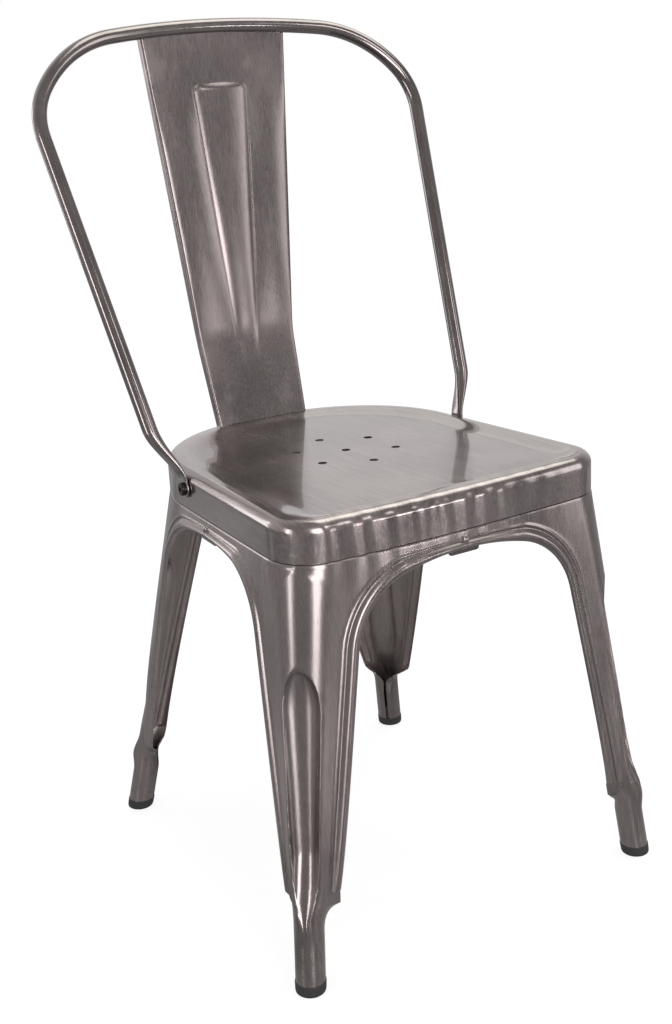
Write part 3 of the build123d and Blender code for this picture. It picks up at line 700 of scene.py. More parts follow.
def recessRing(front, side, rear, frontFillet, rearFillet):
    # rounded outline of the recess with the same count of points
    frontY = plan["frontY"] + front
    rearY = plan["rearY"] - rear
    direction = np.array((-tan(taper), 1.0)) * cos(taper)
    frontCorner = np.array((sideX(frontY, side), frontY))
    rearCorner = np.array((sideX(rearY, side), rearY))
    frontCut = frontFillet * tan((pi / 2 + taper) / 2)
    rearCut = rearFillet * tan((pi / 2 - taper) / 2)
    frontCentre = frontCorner + direction * frontCut - sideNormal * frontFillet
    rearCentre = rearCorner - direction * rearCut - sideNormal * rearFillet
    half = linePoints(np.array((0.0, frontY)), np.array((frontCentre[0], frontY)), "bow")
    half += arcPoints(frontCentre, frontFillet, -pi / 2, taper, "corner")
    sideStart, sideEnd = frontCentre + sideNormal * frontFillet, rearCentre + sideNormal * rearFillet
    half += linePoints(sideStart, sideEnd, "side")
    half += arcPoints(rearCentre, rearFillet, taper, pi / 2, "rear")
    half += linePoints(np.array((rearCentre[0], rearY)), np.array((0.0, rearY)), "back")
    return closeRing(half)


def fall(y):
    run = plan["rearY"] - seat["fallStart"]
    return seat["rearFall"] * (max(0.0, y - seat["fallStart"]) / run) ** 2


def blendRing(first, last, share, height):
    # outline between two others, at height(y)
    return [(x, y, height(y)) for x, y in (mix(a, b, share) for a, b in zip(first, last))]


def seatRings():
    rings = []
    wall = seatRing(0.0)
    rollFoot = seat["top"] - seat["roll"] - seat["borderCrown"]
    for z in (seat["foot"], *seat["skirtRows"], rollFoot):
        share = ease((z - seat["foot"]) / (rollFoot - seat["foot"]))
        rings.append([(x, y, z - fall(y) * share) for x, y in wall])
    for angle in steps(0.0, pi / 2, ringCounts["roll"]):
        ring = seatRing(seat["roll"] * (1 - cos(angle)))
        rings.append([(x, y, rollFoot + seat["roll"] * sin(angle) - fall(y)) for x, y in ring])
    roll = seatRing(seat["roll"])
    upper = recessRing(*(np.array(seat["borders"]) + seat["rim"]))
    lower = recessRing(*(np.array(seat["borders"]) + seat["slope"]))
    for share in steps(0.0, 1.0, ringCounts["border"]):
        level = seat["top"] - seat["borderCrown"] * (1 - share) ** seat["borderCurve"]
        rings.append(blendRing(roll, upper, share, lambda y: level - fall(y)))
    for share in steps(0.0, 1.0, ringCounts["slope"]):
        # steeper near the upper edge, running out softly into the floor
        level = seat["top"] - seat["recess"] * ease(share ** seat["slopeCurve"])
        rings.append(blendRing(upper, lower, share, lambda y: level - fall(y) * (1 - ease(share))))
    middle = np.array((0.0, seat["holeY"]))
    for share in floorShares:
        rings.append(blendRing(lower, [middle] * len(lower), share, lambda y: seat["top"] - seat["recess"]))
    return rings


def makeSeat():
    piece = layRows("seat", [ring + ring[:1] for ring in seatRings()])
    mergePoints(piece)
    faceTowards(piece, lambda centre: (0.0, 0.0, 1.0))
    thicken(piece)
    places = [np.zeros(2)]
    for index in range(seat["holes"]):
        places.append(turn(pi / 2 + 2 * pi * index / seat["holes"]) * seat["holeCircle"])
    drills = []
    for x, y in places:
        bpy.ops.mesh.primitive_cylinder_add(
            vertices=40,
            radius=seat["holeRadius"] * mm,
            depth=0.02,
            location=(x * mm, (seat["holeY"] + y) * mm, (seat["top"] - seat["recess"]) * mm),
        )
        drills.append(bpy.context.object)
    drill = joinPieces("drill", drills)
    bpy.ops.object.transform_apply(location=True, rotation=True, scale=True)
    modify(piece, "BOOLEAN", operation="DIFFERENCE", solver="EXACT", object=drill)
    pick(drill)
    bpy.ops.object.delete()
    smoothShade(piece)
    return piece


seatPiece = makeSeat()
print("stage: seat", len(seatPiece.data.vertices))


hoop = {
    "tube": 7.4,
    "baseY": 33.5,
    "baseZ": 424.5,
    "lean": 22.4,
    "baseHalf": 182.0,
    "topHalf": 230.3,
    "rise": 451.9,
    "cornerRise": 374.3,
    "shoulderX": 173.7,
    "shoulderRise": 439.3,
    "crownX": 61.1,
    "bow": 13.8,
    "start": 30.0,
    "tabWidth": 18.0,
    "tabThick": 3.0,
    "tabRise": 8.0,
    "tabSquare": 4.0,  # 2 is round, more is squarer
    "tabGap": 0.05,
    "tabStart": 3.0,
    "boltZ": 415.5,
    "swellRun": 24.0,
    "swellPull": (0.25, 0.35),
    "swellEase": (1.1, 0.98, 1.3),  # how early the width, the thickness and the roundness arrive
    "around": 32,
}
hoopCounts = {"tab": 12, "swell": 22, "side": 24, "corner": 26, "crown": 20}
lean = radians(hoop["lean"])
inwards = np.array((-1.0, 0.0, 0.0))


def onHoop(x, rise, bow=0.0):
    return np.array((x, hoop["baseY"] + rise * sin(lean) + bow, hoop["baseZ"] + rise * cos(lean)))


def bendPoints(before, corner, after, reach, count):
    # arc that rounds a corner of the control line, after its first point
    inward = unit(before - corner)
    onward = unit(after - corner)
    halfAngle = acos(float(inward @ onward)) / 2
    centre = corner + unit(inward + onward) * (reach / cos(halfAngle))
    first = corner + inward * reach - centre
    last = corner + onward * reach - centre
    sweep = pi - 2 * halfAngle
    spots = []
    for share in steps(0.0, 1.0, count):
        spots.append(centre + (first * sin((1 - share) * sweep) + last * sin(share * sweep)) / sin(sweep))
    return spots


def boltFrame():
    # place on the skirt, direction along it, up it and out of it
    y = hoop["baseY"] + (hoop["boltZ"] - hoop["baseZ"]) * tan(lean)
    out = np.array((*sideNormal, 0.0))
    up = np.array((0.0, sin(lean), cos(lean)))
    up = unit(up - out * (out @ up))
    return np.array((sideX(y), y, hoop["boltZ"])), np.cross(up, out), up, out


def hoopRings():
    # (middle, wide axis, thin axis, half width, half thickness, squareness) from the right tab to the crown
    place, along, up, out = boltFrame()
    widening = (hoop["topHalf"] - hoop["baseHalf"]) / hoop["rise"]
    start = onHoop(hoop["baseHalf"] + widening * hoop["start"], hoop["start"])
    corner = onHoop(hoop["baseHalf"] + widening * hoop["cornerRise"], hoop["cornerRise"])
    shoulder = onHoop(hoop["shoulderX"], hoop["shoulderRise"])
    crown = onHoop(hoop["crownX"], hoop["rise"], hoop["bow"])
    apex = onHoop(0.0, hoop["rise"], hoop["bow"])
    shoulderReach = np.linalg.norm(crown - shoulder) - hoop["crownX"]
    cornerReach = np.linalg.norm(shoulder - corner) - shoulderReach
    run = unit(corner - start)
    tube, square = hoop["tube"], hoop["tabSquare"]
    tabHalf, thinHalf = hoop["tabWidth"] / 2, hoop["tabThick"] / 2
    tabMiddle = place + out * (thinHalf + hoop["tabGap"])
    rings = []
    for angle in np.linspace(radians(hoop["tabStart"]), pi / 2, hoopCounts["tab"]):
        middle = tabMiddle - up * tabHalf * cos(angle)
        rings.append((middle, along, out, tabHalf * sin(angle), thinHalf, square))
    pressStart = tabMiddle + up * hoop["tabRise"]
    for share in (0.35, 0.7, 1.0):
        rings.append((mix(tabMiddle, pressStart, share), along, out, tabHalf, thinHalf, square))
    # the flattened end swells into the round tube
    tubeThin = unit(out - run * (out @ run))
    tubeWide = np.cross(run, tubeThin)
    if tubeWide @ along < 0:
        tubeWide = -tubeWide
    begin = start + run * hoop["swellRun"]
    reach = np.linalg.norm(begin - pressStart)
    pullUp, pullDown = hoop["swellPull"]
    a, b, c, d = pressStart, pressStart + up * reach * pullUp, begin - run * reach * pullDown, begin
    for share in steps(0.0, 1.0, hoopCounts["swell"]):
        left = 1 - share
        middle = a * left**3 + b * 3 * left**2 * share + c * 3 * left * share**2 + d * share**3
        wide = unit(mix(along, tubeWide, ease(share)))
        thin = unit(mix(out, tubeThin, ease(share)))
        wider, thicker, rounder = [ease(share * early) for early in hoop["swellEase"]]
        halfWide, halfThin = mix(tabHalf, tube, wider), mix(thinHalf, tube, thicker**0.9)
        rings.append((middle, wide, thin, halfWide, halfThin, mix(square, 2.0, rounder)))
    spots = steps(begin, corner - run * cornerReach, hoopCounts["side"])
    spots += bendPoints(start, corner, shoulder, cornerReach, hoopCounts["corner"])
    spots += bendPoints(corner, shoulder, crown, shoulderReach, hoopCounts["corner"])
    spots += bendPoints(shoulder, crown, apex, hoop["crownX"], hoopCounts["crown"])
    thin = tubeThin
    for previous, spot, following in zip([begin] + spots, spots, spots[1:] + [None]):
        tangent = inwards if following is None else unit(following - previous)
        thin = unit(thin - tangent * (thin @ tangent))
        rings.append((spot, np.cross(tangent, thin), thin, tube, tube, 2.0))
    return rings


def makeHoop():
    rings = hoopRings()
    # the first row closes the tab's end
    laid = [[rings[0][0]] * (hoop["around"] + 1)]
    for middle, wide, thin, halfWide, halfThin, power in rings:
        ring = []
        for angle in [2 * pi * index / hoop["around"] for index in range(hoop["around"])]:
            x, y = [copysign(abs(part) ** (2 / power), part) for part in turn(angle)]
            ring.append(middle + wide * halfWide * x + thin * halfThin * y)
        laid.append(ring + ring[:1])
    halves = [layRows("hoopRight", laid), layRows("hoopLeft", laid, np.array((-1.0, 1.0, 1.0)))]
    piece = joinPieces("hoop", halves)
    mergePoints(piece)
    smoothShade(piece)
    return piece


hoopPiece = makeHoop()
print("stage: hoop", len(hoopPiece.data.vertices))


splat = {
    "topZ": 836.0,
    "topY": 216.6,
    "bendZ": 522.0,
    "bendY": 187.8,
    "footY": 163.0,
    "footGap": 0.2,
    "bendRadius": 140.0,
    "topHalf": 84.8,
    "bendHalf": 58.2,
    "footHalf": 54.2,
    "flange": 9.0,
    "fold": 2.4,
    "ribTop": 785.0,
    "ribFoot": 508.0,
    "ribTopHalf": 32.0,
    "ribFootHalf": 12.5,
    "ribCorner": 9.0,
    "ribHeight": 0.4,
    "ribEdge": (-0.4, 4.5),
    "ribFade": (-6.0, 40.0),  # start and run over the rib's foot
    "ribCrown": 2.6,
    "crownEdge": (-2.25, 9.0),
    "crease": 0.15,
    "creaseReach": 2.0,
    "crown": 2.3,
    "crownFade": (20.0, 90.0),  # end and run over the rib's top
    "swell": (455.0, 190.0),  # start and run of the crowned part
    "aside": 3.0,
}
ribShares = (0.0, 0.2, 0.4, 0.58, 0.72, 0.82, 0.9, 0.96)
ribSteps = (-0.3, 0.3, 0.9, 1.5, 2.1, 2.8, 3.6)
stripStart = 4.8
splatRows = ((splat["ribTop"] - 14.0, 60), (splat["ribTop"] + 6.0, 28), (splat["topZ"], 9))


def splatRoute():
    # (y, z) line of the front face from the seat to the top, with its bend rounded
    foot = np.array((splat["footY"], seat["top"] - fall(splat["footY"]) + splat["footGap"]))
    bend = np.array((splat["bendY"], splat["bendZ"]))
    top = np.array((splat["topY"], splat["topZ"]))
    radius = splat["bendRadius"]
    low, high = unit(foot - bend), unit(top - bend)
    halfAngle = acos(float(low @ high)) / 2
    reach = radius / tan(halfAngle)
    centre = bend + unit(low + high) * (radius / sin(halfAngle))
    first, last = bend + low * reach, bend + high * reach
    startAngle = atan2(*(first - centre)[::-1])
    endAngle = nearAngle(atan2(*(last - centre)[::-1]), startAngle)
    spots = [mix(foot, first, share) for share in np.linspace(0, 1, 12)]
    spots += [centre + turn(angle) * radius for angle in steps(startAngle, endAngle, 13)]
    # rows lie closer together where the rib ends
    for z, count in splatRows:
        spots += steps(spots[-1], mix(last, top, (z - last[1]) / (top[1] - last[1])), count)
    return spots


def splatHalf(z):
    if z < splat["bendZ"]:
        foot = seat["top"]
        return mix(splat["footHalf"], splat["bendHalf"], (z - foot) / (splat["bendZ"] - foot))
    return mix(splat["bendHalf"], splat["topHalf"], (z - splat["bendZ"]) / (splat["topZ"] - splat["bendZ"]))


def ribHalf(z):
    share = (z - splat["ribFoot"]) / (splat["ribTop"] - splat["ribFoot"])
    return mix(splat["ribFootHalf"], splat["ribTopHalf"], clamp(share, 0.0, 1.05))


def splatRelief(x, z, half):
    # height of the front face over the flat sheet
    rib = ribHalf(z)
    corner = splat["ribCorner"]
    outX, outZ = abs(x) - rib + corner, z - splat["ribTop"] + corner
    # distance inside the rib's rounded outline
    inside = -(sqrt(max(outX, 0) ** 2 + max(outZ, 0) ** 2) + min(max(outX, outZ), 0.0) - corner)
    swell = eased(z, splat["swell"])
    raised = splat["ribHeight"] * eased(inside, splat["ribEdge"])
    crease = splat["crease"] * clamp(1 - abs(inside) / splat["creaseReach"])
    if inside > 0:
        crown = splat["ribCrown"] * (1 - (x / rib) ** 2) * swell * eased(inside, splat["crownEdge"])
    else:
        middle, spread = (half + rib) / 2, (half - rib) / 2
        end, run = splat["crownFade"]
        crown = splat["crown"] * max(0.0, 1 - ((abs(x) - middle) / spread) ** 2) * swell
        crown *= ease((splat["ribTop"] + end - z) / run)
    return (raised - crease) * eased(z - splat["ribFoot"], splat["ribFade"]) + crown


def splatColumns(z):
    # x places across the right half, then the fold and the flange behind it
    half = splatHalf(z)
    rib = ribHalf(z)
    fold = splat["fold"]
    last = half - fold
    places = [(rib * share, 0.0) for share in ribShares]
    places += [(rib + step, 0.0) for step in ribSteps]
    places += [(mix(rib + stripStart, last, share), 0.0) for share in np.linspace(0, 1, 12)]
    places += [(last + fold * sin(angle), fold * (1 - cos(angle))) for angle in steps(0.0, pi / 2, 6)]
    places += [(half, fold + step) for step in steps(0.0, splat["flange"] - fold, 4)]
    return places


def makeSplat():
    spots = splatRoute()
    grid = []
    for low, (y, z), high in zip([spots[0]] + spots, spots, spots[1:] + [spots[-1]]):
        direction = unit(high - low)
        half = splatHalf(z)
        right = []
        for x, depth in splatColumns(z):
            lift = splatRelief(x, z, half) * ease((half - x) / splat["aside"]) - depth
            right.append((x, y - direction[1] * lift, z + direction[0] * lift))
        left = [(-x, py, pz) for x, py, pz in reversed(right[1:])]
        grid.append(left + right)
    return finishSheet(layRows("splat", grid), lambda centre: (0.0, -1.0, 0.0))


splatPiece = makeSplat()
print("stage: splat", len(splatPiece.data.vertices))


# radius and height round the rubber cap and its plug, from below
capProfile = [(0.0, 0.0), (11.6, 0.0), (13.0, 0.35), (13.9, 1.2), (14.3, 2.6), (14.45, 5.0), (14.5, 8.6)]
capProfile += [(14.6, 9.6), (14.55, 10.4), (14.3, 10.9), (13.6, 11.0), (12.5, 11.0)]
capProfile += [(12.5, 28.0), (11.5, 29.0), (0.0, 29.0)]
capAround = 48


def makeCap(values, name):
    shape = Leg(values)

    def placeCap(column, row):
        radius, z = capProfile[row]
        middle = shape.corner(z) - shape.outward * leg["tubeRadius"]
        spot = middle + turn(2 * pi * (column % capAround) / capAround) * radius
        return spot[0], spot[1], z

    piece = layGrid(name + "_right", capAround + 1, len(capProfile), placeCap)
    mergePoints(piece)
    smoothShade(piece)
    return piece, mirrorPiece(piece, name + "_left")


capFronts = makeCap(frontLeg, "front_cap")
capRears = makeCap(rearLeg, "rear_cap")
print("stage: caps")


weld = {
    # small tab where neighbouring legs meet
    "low": 375.6,
    "high": 389.0,
    "halfWidth": 4.6,
    "thick": 3.0,
    "proud": 0.2,
    "dip": 0.9,
    "dipPlace": -0.15,
    "narrowed": 0.86,
    "sheet": 1.0,
    "crease": 60.0,
    "columns": 13,
    "rows": 15,
}
joints = {
    # place on the wing, outward direction
    "front": ((0.0, plan["frontY"]), (0.0, -1.0)),
    "rear": ((0.0, plan["rearY"]), (0.0, 1.0)),
    "right": ((sideX(plan["jointY"]), plan["jointY"]), (1.0, 0.0)),
    "left": ((-sideX(plan["jointY"]), plan["jointY"]), (-1.0, 0.0)),
}


def makeWeld(name, place, out):
    middle, out = np.array(place), np.array(out)
    along = np.array((-out[1], out[0]))

    def placeWeld(column, row):
        u = column / (weld["columns"] - 1) * 2 - 1
        v = row / (weld["rows"] - 1) * 2 - 1
        rise = max(0.0, 1 - abs(u) ** 3.2) * max(0.0, 1 - abs(v) ** 5) * weld["thick"]
        dip = weld["dip"] * ease(1 - abs(v - weld["dipPlace"]) / 0.5) * (1 - u * u)
        spot = middle + along * u * weld["halfWidth"] + out * (rise - dip + weld["proud"])
        tall = mix(weld["narrowed"], 1.0, max(0.0, 1 - u**4) ** 0.25)
        return spot[0], spot[1], mix(weld["low"], weld["high"], (v * tall + 1) / 2)

    piece = layGrid(name, weld["columns"], weld["rows"], placeWeld)
    return finishSheet(piece, lambda centre: (*out, 0.0), weld["crease"], weld["sheet"])


welds = [makeWeld("weld_tab_" + name, place, out) for name, (place, out) in joints.items()]
print("stage: weld tabs")


def feed(node, inputs):
    # each input takes a constant or another node's output
    for name, value in inputs.items():
        if isinstance(value, bpy.types.NodeSocket):
            node.id_data.links.new(value, node.inputs[name])
        else:
            node.inputs[name].default_value = value


def addNode(tree, kind, inputs, output=0, **settings):
    node = tree.nodes.new(kind)
    for name, value in settings.items():
        setattr(node, name, value)
    feed(node, inputs)
    return node.outputs[output]


def noiseNode(tree, scale, detail, vector, roughness=0.5):
    inputs = {"Scale": scale, "Detail": detail, "Roughness": roughness, "Vector": vector}
    return addNode(tree, "ShaderNodeTexNoise", inputs, "Fac")


def mapped(tree, scale=(1.0, 1.0, 1.0), rotation=(0.0, 0.0, 0.0), shift=(0.0, 0.0, 0.0)):
    vector = addNode(tree, "ShaderNodeTexCoord", {}, "Object")
    inputs = {"Scale": scale, "Rotation": rotation, "Location": shift, "Vector": vector}
    return addNode(tree, "ShaderNodeMapping", inputs, "Vector")


def ranged(tree, value, low, high, fromLow=0.3, fromHigh=0.7, **settings):
    inputs = {"From Min": fromLow, "From Max": fromHigh, "To Min": low, "To Max": high, "Value": value}
    return addNode(tree, "ShaderNodeMapRange", inputs, "Result", **settings)


def combined(tree, operation, *values):
    # chains a sum or a product over the values
    result = values[0]
    for value in values[1:]:
        result = addNode(tree, "ShaderNodeMath", {0: result, 1: value}, operation=operation)
    return result


def bumped(tree, strength, distance, height, normal=None):
    inputs = {"Strength": strength, "Distance": distance, "Height": height}
    if normal:
        inputs["Normal"] = normal
    return addNode(tree, "ShaderNodeBump", inputs, "Normal")


def axis(tree, vector, name):
    return addNode(tree, "ShaderNodeSeparateXYZ", {0: vector}, name)


steel = {
    # dark and light tone
    "outer": ((0.165, 0.142, 0.139, 1.0), (0.385, 0.336, 0.332, 1.0)),
    "splat": ((0.132, 0.114, 0.112, 1.0), (0.32, 0.278, 0.275, 1.0)),
    "tube": ((0.15, 0.131, 0.127, 1.0), (0.30, 0.264, 0.258, 1.0)),
    # inner: darker than the outer steel, painted shade on the bars and plates under the seat
    "inner": ((0.06, 0.05, 0.048, 1.0), (0.13, 0.112, 0.108, 1.0)),
    # inside: lighter than the outer steel, painted light on the inner faces
    "inside": ((0.27, 0.235, 0.228, 1.0), (0.44, 0.388, 0.378, 1.0)),
    "toneShare": 0.5,  # what the grain and the patches each add at most
    "grainRough": (-0.02, 0.03),
    "coatRoughness": 0.05,
    "thinCoatRoughness": 0.3,
    "coatIndex": 1.5,
    "grainBump": (0.025, 0.0003),  # strength, distance in metres
    "wobble": (0.09, 0.004),
    "wobbleScale": 6.0,
    "patchScale": 9.0,
    "patchStretch": (1.0, 1.0, 0.55),
}
upright = (0.0, 0.0, 1.0)
finishes = {
    # streaks is the fineness along each axis; highlights are stretched along the tangent
    "steel_leg": {
        "tones": "outer",
        "streaks": (900.0, 900.0, 12.0),
        "roughness": (0.22, 0.34),
        "tangent": upright,
        "stretch": 0.75,
        "coat": 0.6,
        "polishMarksAndSheen": True,
    },
    "steel_seat": {
        "tones": "outer",
        "streaks": (500.0, 16.0, 200.0),
        "roughness": (0.17, 0.27),
        "tangent": (0.0, 0.7, 0.7),
        "stretch": 0.75,
        "polishMarksAndSheen": True,
    },
    "steel_splat": {
        "tones": "splat",
        "streaks": (900.0, 900.0, 10.0),
        "roughness": (0.23, 0.31),
        "tangent": upright,
        "stretch": 0.35,
        "coat": 0.3,
        # the splat takes the painted sheen at its top and foot
        "withPaintedSheen": True,
    },
    "steel_tube": {"tones": "tube", "streaks": (30.0, 30.0, 30.0), "roughness": (0.15, 0.21)},
    # inner faces: a lighter copy of the steel, painted light
    "steel_inside_painted_light": {
        "tones": "inside",
        "streaks": (300.0, 300.0, 20.0),
        "roughness": (0.42, 0.55),
        "coat": 0.2,
    },
    # bars and plates under the seat: a darker copy of the steel, painted shade
    "steel_inner_painted_shade": {"tones": "inner", "streaks": (200.0, 200.0, 40.0), "roughness": (0.3, 0.42)},
}
paintedSheen = {
    # painted sheen: whitish patches that lighten the colour at the top and the foot of the splat
    "scale": 17.0,
    "stretch": (1.0, 1.0, 0.7),
    "slant": (0.0, 0.6, 0.0),
    "cut": (0.55, 0.72),
    "top": (0.785, 0.80),
    "foot": (0.465, 0.50),
    "tone": 0.9,
}
beltMarksAndSheen = {
    # crescent marks of the polishing belt along the front of the skirt and the legs' upper edge, as bumps;
    # their tone lightens the colour on the crescents as painted highlights
    "scale": 13.0,
    "distortion": 1.6,
    "detail": 1.5,
    "detailScale": 2.5,
    "stretch": (1.0, 1.0, 0.8),
    "shift": (0.42, 0.0, -0.3),
    "front": (-0.19, -0.165),
    "high": (0.355, 0.415),
    "left": (-0.02, 0.15),
    "bump": (0.45, 0.0012),
    # how much the crescents lighten the colour: painted highlights
    "tone": 0.35,
}


def newMaterial(name):
    material = bpy.data.materials.new(name)
    material.use_nodes = True
    return material, material.node_tree


# lightens the colour in patches at the splat's top and foot: painted sheen
def paintedSheenTone(tree, plain):
    sheen = noiseNode(tree, paintedSheen["scale"], 3.0, mapped(tree, paintedSheen["stretch"], paintedSheen["slant"]), 0.6)
    height = axis(tree, plain, "Z")
    top = ranged(tree, height, 0.0, 1.0, *paintedSheen["top"])
    foot = ranged(tree, height, 1.0, 0.0, *paintedSheen["foot"])
    ends = combined(tree, "MAXIMUM", top, foot)
    sheen = combined(tree, "MULTIPLY", ranged(tree, sheen, 0.0, 1.0, *paintedSheen["cut"]), ends)
    return ranged(tree, sheen, 0.0, paintedSheen["tone"], 0.0, 1.0)


# height of the crescent marks, used for their bumps and for their painted highlights
def markAndSheenHeight(tree, plain):
    inputs = {
        "Scale": beltMarksAndSheen["scale"],
        "Distortion": beltMarksAndSheen["distortion"],
        "Detail": beltMarksAndSheen["detail"],
        "Detail Scale": beltMarksAndSheen["detailScale"],
        "Vector": mapped(tree, beltMarksAndSheen["stretch"], shift=beltMarksAndSheen["shift"]),
    }
    rings = addNode(tree, "ShaderNodeTexWave", inputs, "Fac", wave_type="RINGS", rings_direction="Y")
    front = ranged(tree, axis(tree, plain, "Y"), 1.0, 0.0, *beltMarksAndSheen["front"])
    high = ranged(tree, axis(tree, plain, "Z"), 0.0, 1.0, *beltMarksAndSheen["high"])
    left = ranged(tree, axis(tree, plain, "X"), 1.0, 0.0, *beltMarksAndSheen["left"])
    return combined(tree, "MULTIPLY", rings, combined(tree, "MULTIPLY", front, high, left))


def steelMaterial(name, values):
    # brushed bare steel under clear lacquer
    material, tree = newMaterial(name)
    shader = tree.nodes["Principled BSDF"]
    coat, tangent = values.get("coat", 1.0), values.get("tangent")
    plain = mapped(tree)
    grain = noiseNode(tree, 1.0, 4.0, mapped(tree, values["streaks"]), 0.65)
    patch = noiseNode(tree, steel["patchScale"], 4.0, mapped(tree, steel["patchStretch"]), 0.55)
    tone = combined(tree, "ADD", *[ranged(tree, part, 0.0, steel["toneShare"]) for part in (grain, patch)])
    normal = bumped(tree, *steel["wobble"], noiseNode(tree, steel["wobbleScale"], 2.0, plain))
    feed(shader, {"Coat Normal": normal})
    # painted sheen lightens the splat's colour at its top and foot
    if values.get("withPaintedSheen"):
        tone = combined(tree, "ADD", tone, paintedSheenTone(tree, plain))
    if values.get("polishMarksAndSheen"):
        height = markAndSheenHeight(tree, plain)
        normal = bumped(tree, *beltMarksAndSheen["bump"], height, normal)
        # the crescents also lighten the colour: painted highlights
        tone = combined(tree, "ADD", tone, ranged(tree, height, 0.0, beltMarksAndSheen["tone"], 0.0, 1.0))
    dark, light = steel[values["tones"]]
    tones = {"A": dark, "B": light, "Factor": tone}
    rough = ranged(tree, patch, *values["roughness"])
    strength, distance = steel["grainBump"] if tangent else (0.0, steel["grainBump"][1])
    feed(
        shader,
        {
            "Base Color": addNode(tree, "ShaderNodeMix", tones, "Result", data_type="RGBA"),
            "Roughness": combined(tree, "ADD", rough, ranged(tree, grain, *steel["grainRough"])),
            "Normal": bumped(tree, strength, distance, grain, normal),
            "Metallic": 1.0,
            "Coat Weight": coat,
            "Coat Roughness": mix(steel["thinCoatRoughness"], steel["coatRoughness"], coat),
            "Coat IOR": steel["coatIndex"],
        },
    )
    if tangent:
        # spreads the highlights along the given direction, across the grain
        direction = addNode(tree, "ShaderNodeCombineXYZ", dict(enumerate(tangent)))
        feed(shader, {"Tangent": direction, "Anisotropic": values["stretch"]})
    return material


def plainMaterial(name, colour, metallic, roughness, bumpScale, bumpStrength):
    material, tree = newMaterial(name)
    grain = noiseNode(tree, bumpScale, 3.0, mapped(tree))
    feed(
        tree.nodes["Principled BSDF"],
        {
            "Base Color": colour,
            "Metallic": metallic,
            "Roughness": ranged(tree, grain, *roughness),
            "Normal": bumped(tree, bumpStrength, 0.0004, grain),
        },
    )
    return material


steels = {name: steelMaterial(name, values) for name, values in finishes.items()}
fastenerSteel = plainMaterial("steel_fastener", (0.05, 0.046, 0.044, 1.0), 1.0, (0.29, 0.43), 300.0, 0.1)
rubber = plainMaterial("rubber_black", (0.018, 0.018, 0.018, 1.0), 0.0, (0.54, 0.68), 500.0, 0.2)


def dress(piece, material, slot, *nodes):
    # materials are for the outer and the inner faces
    faces = [face.material_index for face in piece.data.polygons]
    piece.data.materials.clear()
    piece.data.materials.append(material)
    # inner faces of steel pieces take the lighter inside steel, painted light
    piece.data.materials.append(steels["steel_inside_painted_light"] if slot == "steel" else material)
    piece.data.polygons.foreach_set("material_index", faces)
    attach(piece, "root")
    if nodes:
        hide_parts(*nodes)


for place, pair in (("front", legFronts), ("rear", legRears)):
    for side, piece in zip(("right", "left"), pair):
        dress(piece, steels["steel_leg"], "steel", f"leg_{place}_{side}")
for place, pair in (("front", capFronts), ("rear", capRears)):
    for side, piece in zip(("right", "left"), pair):
        dress(piece, rubber, "rubber", f"foot_cap_{place}_{side}")
dress(seatPiece, steels["steel_seat"], "steel", "seat_pan")
for piece in welds:
    dress(piece, steels["steel_leg"], "steel")
dress(hoopPiece, steels["steel_tube"], "steel", "back_hoop")
dress(splatPiece, steels["steel_splat"], "steel", "back_splat")

for name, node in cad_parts.items():
    if name.startswith(("hoop_", "brace_rivet")):
        material = fastenerSteel
    # bars and plates under the seat take the darker inner steel, painted shade
    elif name.startswith(("brace_bar", "joint_plate")):
        material = steels["steel_inner_painted_shade"]
    else:
        continue
    node.data.materials.clear()
    node.data.materials.append(material)
print("stage: materials")


camera = {
    "place": (-0.76827, -1.21673, 0.82325),
    "turn": (72.273, 2.816, -32.665),
    "lens": 52.08,
}
bpy.ops.object.camera_add(location=camera["place"], rotation=[radians(angle) for angle in camera["turn"]])
view = bpy.context.object
view.data.lens = camera["lens"]
view.data.sensor_width = 36.0
bpy.context.scene.camera = view


studio = {
    "floorSize": 14.0,
    "floorShade": 0.90,
    "floorGlow": 1.05,
    "floorSeen": 0.80,
    "floorMirror": (0.12, 0.54),
    "floorTint": (1.0, 0.97, 0.97, 1.0),
    "floorClutter": 2.3,
    "roomLow": 0.35,
    "roomHigh": 0.76,
    "roomSpan": (-0.1, 0.75),
    "roomTint": (1.0, 0.975, 0.975, 1.0),
    "roomClutter": 2.2,
    "clutterRange": (0.82, 1.12),
    "diffuse": 0.95,
    "lampTint": (1.0, 0.98, 0.98),
    "overheadTint": (0.98, 1.0, 0.92),
    "overheadAim": (0.0, 0.0, 0.4),
}
white = (1.0, 1.0, 1.0, 1.0)


def rayMix(tree, ray, others, matching):
    # one shader for rays of the given kind, another for the rest
    isRay = addNode(tree, "ShaderNodeLightPath", {}, ray)
    return addNode(tree, "ShaderNodeMixShader", {"Fac": isRay, 1: others, 2: matching})


def makeFloor():
    bpy.ops.mesh.primitive_plane_add(size=studio["floorSize"], location=(0, 0, 0))
    floor = bpy.context.object
    floor.name = "floor"
    bpy.ops.object.mode_set(mode="EDIT")
    bpy.ops.mesh.subdivide(number_cuts=4)
    bpy.ops.object.mode_set(mode="OBJECT")
    material, tree = newMaterial("floor_white")
    tree.nodes.clear()
    matt = addNode(tree, "ShaderNodeBsdfDiffuse", {"Color": (studio["floorShade"],) * 3 + (1.0,)})
    glow = addNode(tree, "ShaderNodeEmission", {"Color": white, "Strength": studio["floorGlow"]})
    seen = addNode(tree, "ShaderNodeMixShader", {"Fac": studio["floorSeen"], 1: matt, 2: glow})
    clutter = ranged(tree, noiseNode(tree, studio["floorClutter"], 2.0, mapped(tree)), *studio["floorMirror"])
    dim = addNode(tree, "ShaderNodeEmission", {"Color": studio["floorTint"], "Strength": clutter})
    reflected = rayMix(tree, "Is Glossy Ray", matt, dim)
    output = tree.nodes.new("ShaderNodeOutputMaterial")
    feed(output, {"Surface": rayMix(tree, "Is Camera Ray", reflected, seen)})
    floor.data.materials.append(material)


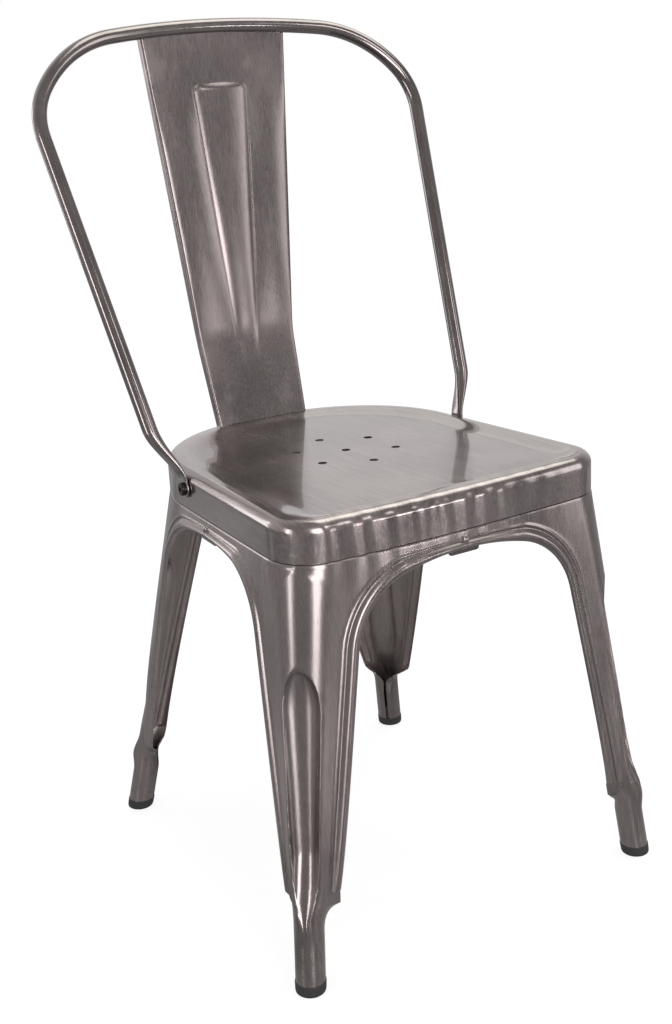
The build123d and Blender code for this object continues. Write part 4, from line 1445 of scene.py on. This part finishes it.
def makeWorld():
    # white to the camera; in reflections pale towards the rear and darker above and towards the front
    world = bpy.data.worlds.new("studio")
    bpy.context.scene.world = world
    world.use_nodes = True
    tree = world.node_tree
    tree.nodes.clear()
    direction = addNode(tree, "ShaderNodeTexCoord", {}, "Generated")
    levels = (studio["roomLow"], studio["roomHigh"], *studio["roomSpan"])
    rearward = ranged(tree, axis(tree, direction, "Y"), *levels, interpolation_type="SMOOTHSTEP")
    clutter = ranged(tree, noiseNode(tree, studio["roomClutter"], 2.0, direction), *studio["clutterRange"])
    lights = {
        "room": (studio["roomTint"], combined(tree, "MULTIPLY", rearward, clutter)),
        "even": (white, studio["diffuse"]),
        "seen": (white, 1.0),
    }
    for name, (colour, strength) in lights.items():
        lights[name] = addNode(tree, "ShaderNodeBackground", {"Color": colour, "Strength": strength})
    reflected = rayMix(tree, "Is Glossy Ray", lights["even"], lights["room"])
    output = tree.nodes.new("ShaderNodeOutputWorld")
    feed(output, {"Surface": rayMix(tree, "Is Camera Ray", reflected, lights["seen"])})


lamps = {
    # bearing from +X in degrees, distance, lowest and highest point, width, strength
    "lamp_left_rear": (122.0, 2.8, 0.1, 1.6, 0.40, 9.0),
    "lamp_left": (190.0, 2.7, 0.05, 1.6, 0.40, 20.0),
    "lamp_front": (257.0, 2.8, 0.05, 1.6, 0.85, 22.0),
    "lamp_front_low": (298.0, 2.9, 0.02, 0.22, 0.45, 45.0),
    "lamp_front_high": (288.0, 2.9, 1.7, 2.5, 0.5, 15.0),
    "lamp_right": (320.0, 2.9, 0.05, 1.8, 0.65, 7.0),
}
overhead = {
    # place, width, depth, strength
    "lamp_top": ((0.9, 0.1, 2.3), 1.2, 1.6, 8.0),
    "lamp_top_rear": ((1.35, 2.1, 1.95), 2.0, 0.9, 1.3),
}


def softbox(name, place, aim, width, height, strength, colour):
    bpy.ops.object.select_all(action="DESELECT")
    bpy.ops.object.light_add(type="AREA", location=place)
    lamp = bpy.context.object
    lamp.name = name
    lamp.rotation_euler = (Vector(aim) - Vector(place)).to_track_quat("-Z", "Y").to_euler()
    lamp.data.shape = "RECTANGLE"
    lamp.data.size = width
    lamp.data.size_y = height
    lamp.data.energy = strength * width * height
    lamp.data.color = colour
    lamp.visible_camera = False


def makeLamps():
    for name, (bearing, distance, low, high, width, strength) in lamps.items():
        middle = (low + high) / 2
        x, y = turn(radians(bearing)) * distance
        softbox(name, (x, y, middle), (0.0, 0.0, middle), width, high - low, strength, studio["lampTint"])
    for name, (place, width, depth, strength) in overhead.items():
        softbox(name, place, studio["overheadAim"], width, depth, strength, studio["overheadTint"])


makeFloor()
makeWorld()
makeLamps()

scene = bpy.context.scene
scene.view_settings.view_transform = "Standard"
print("stage: studio")
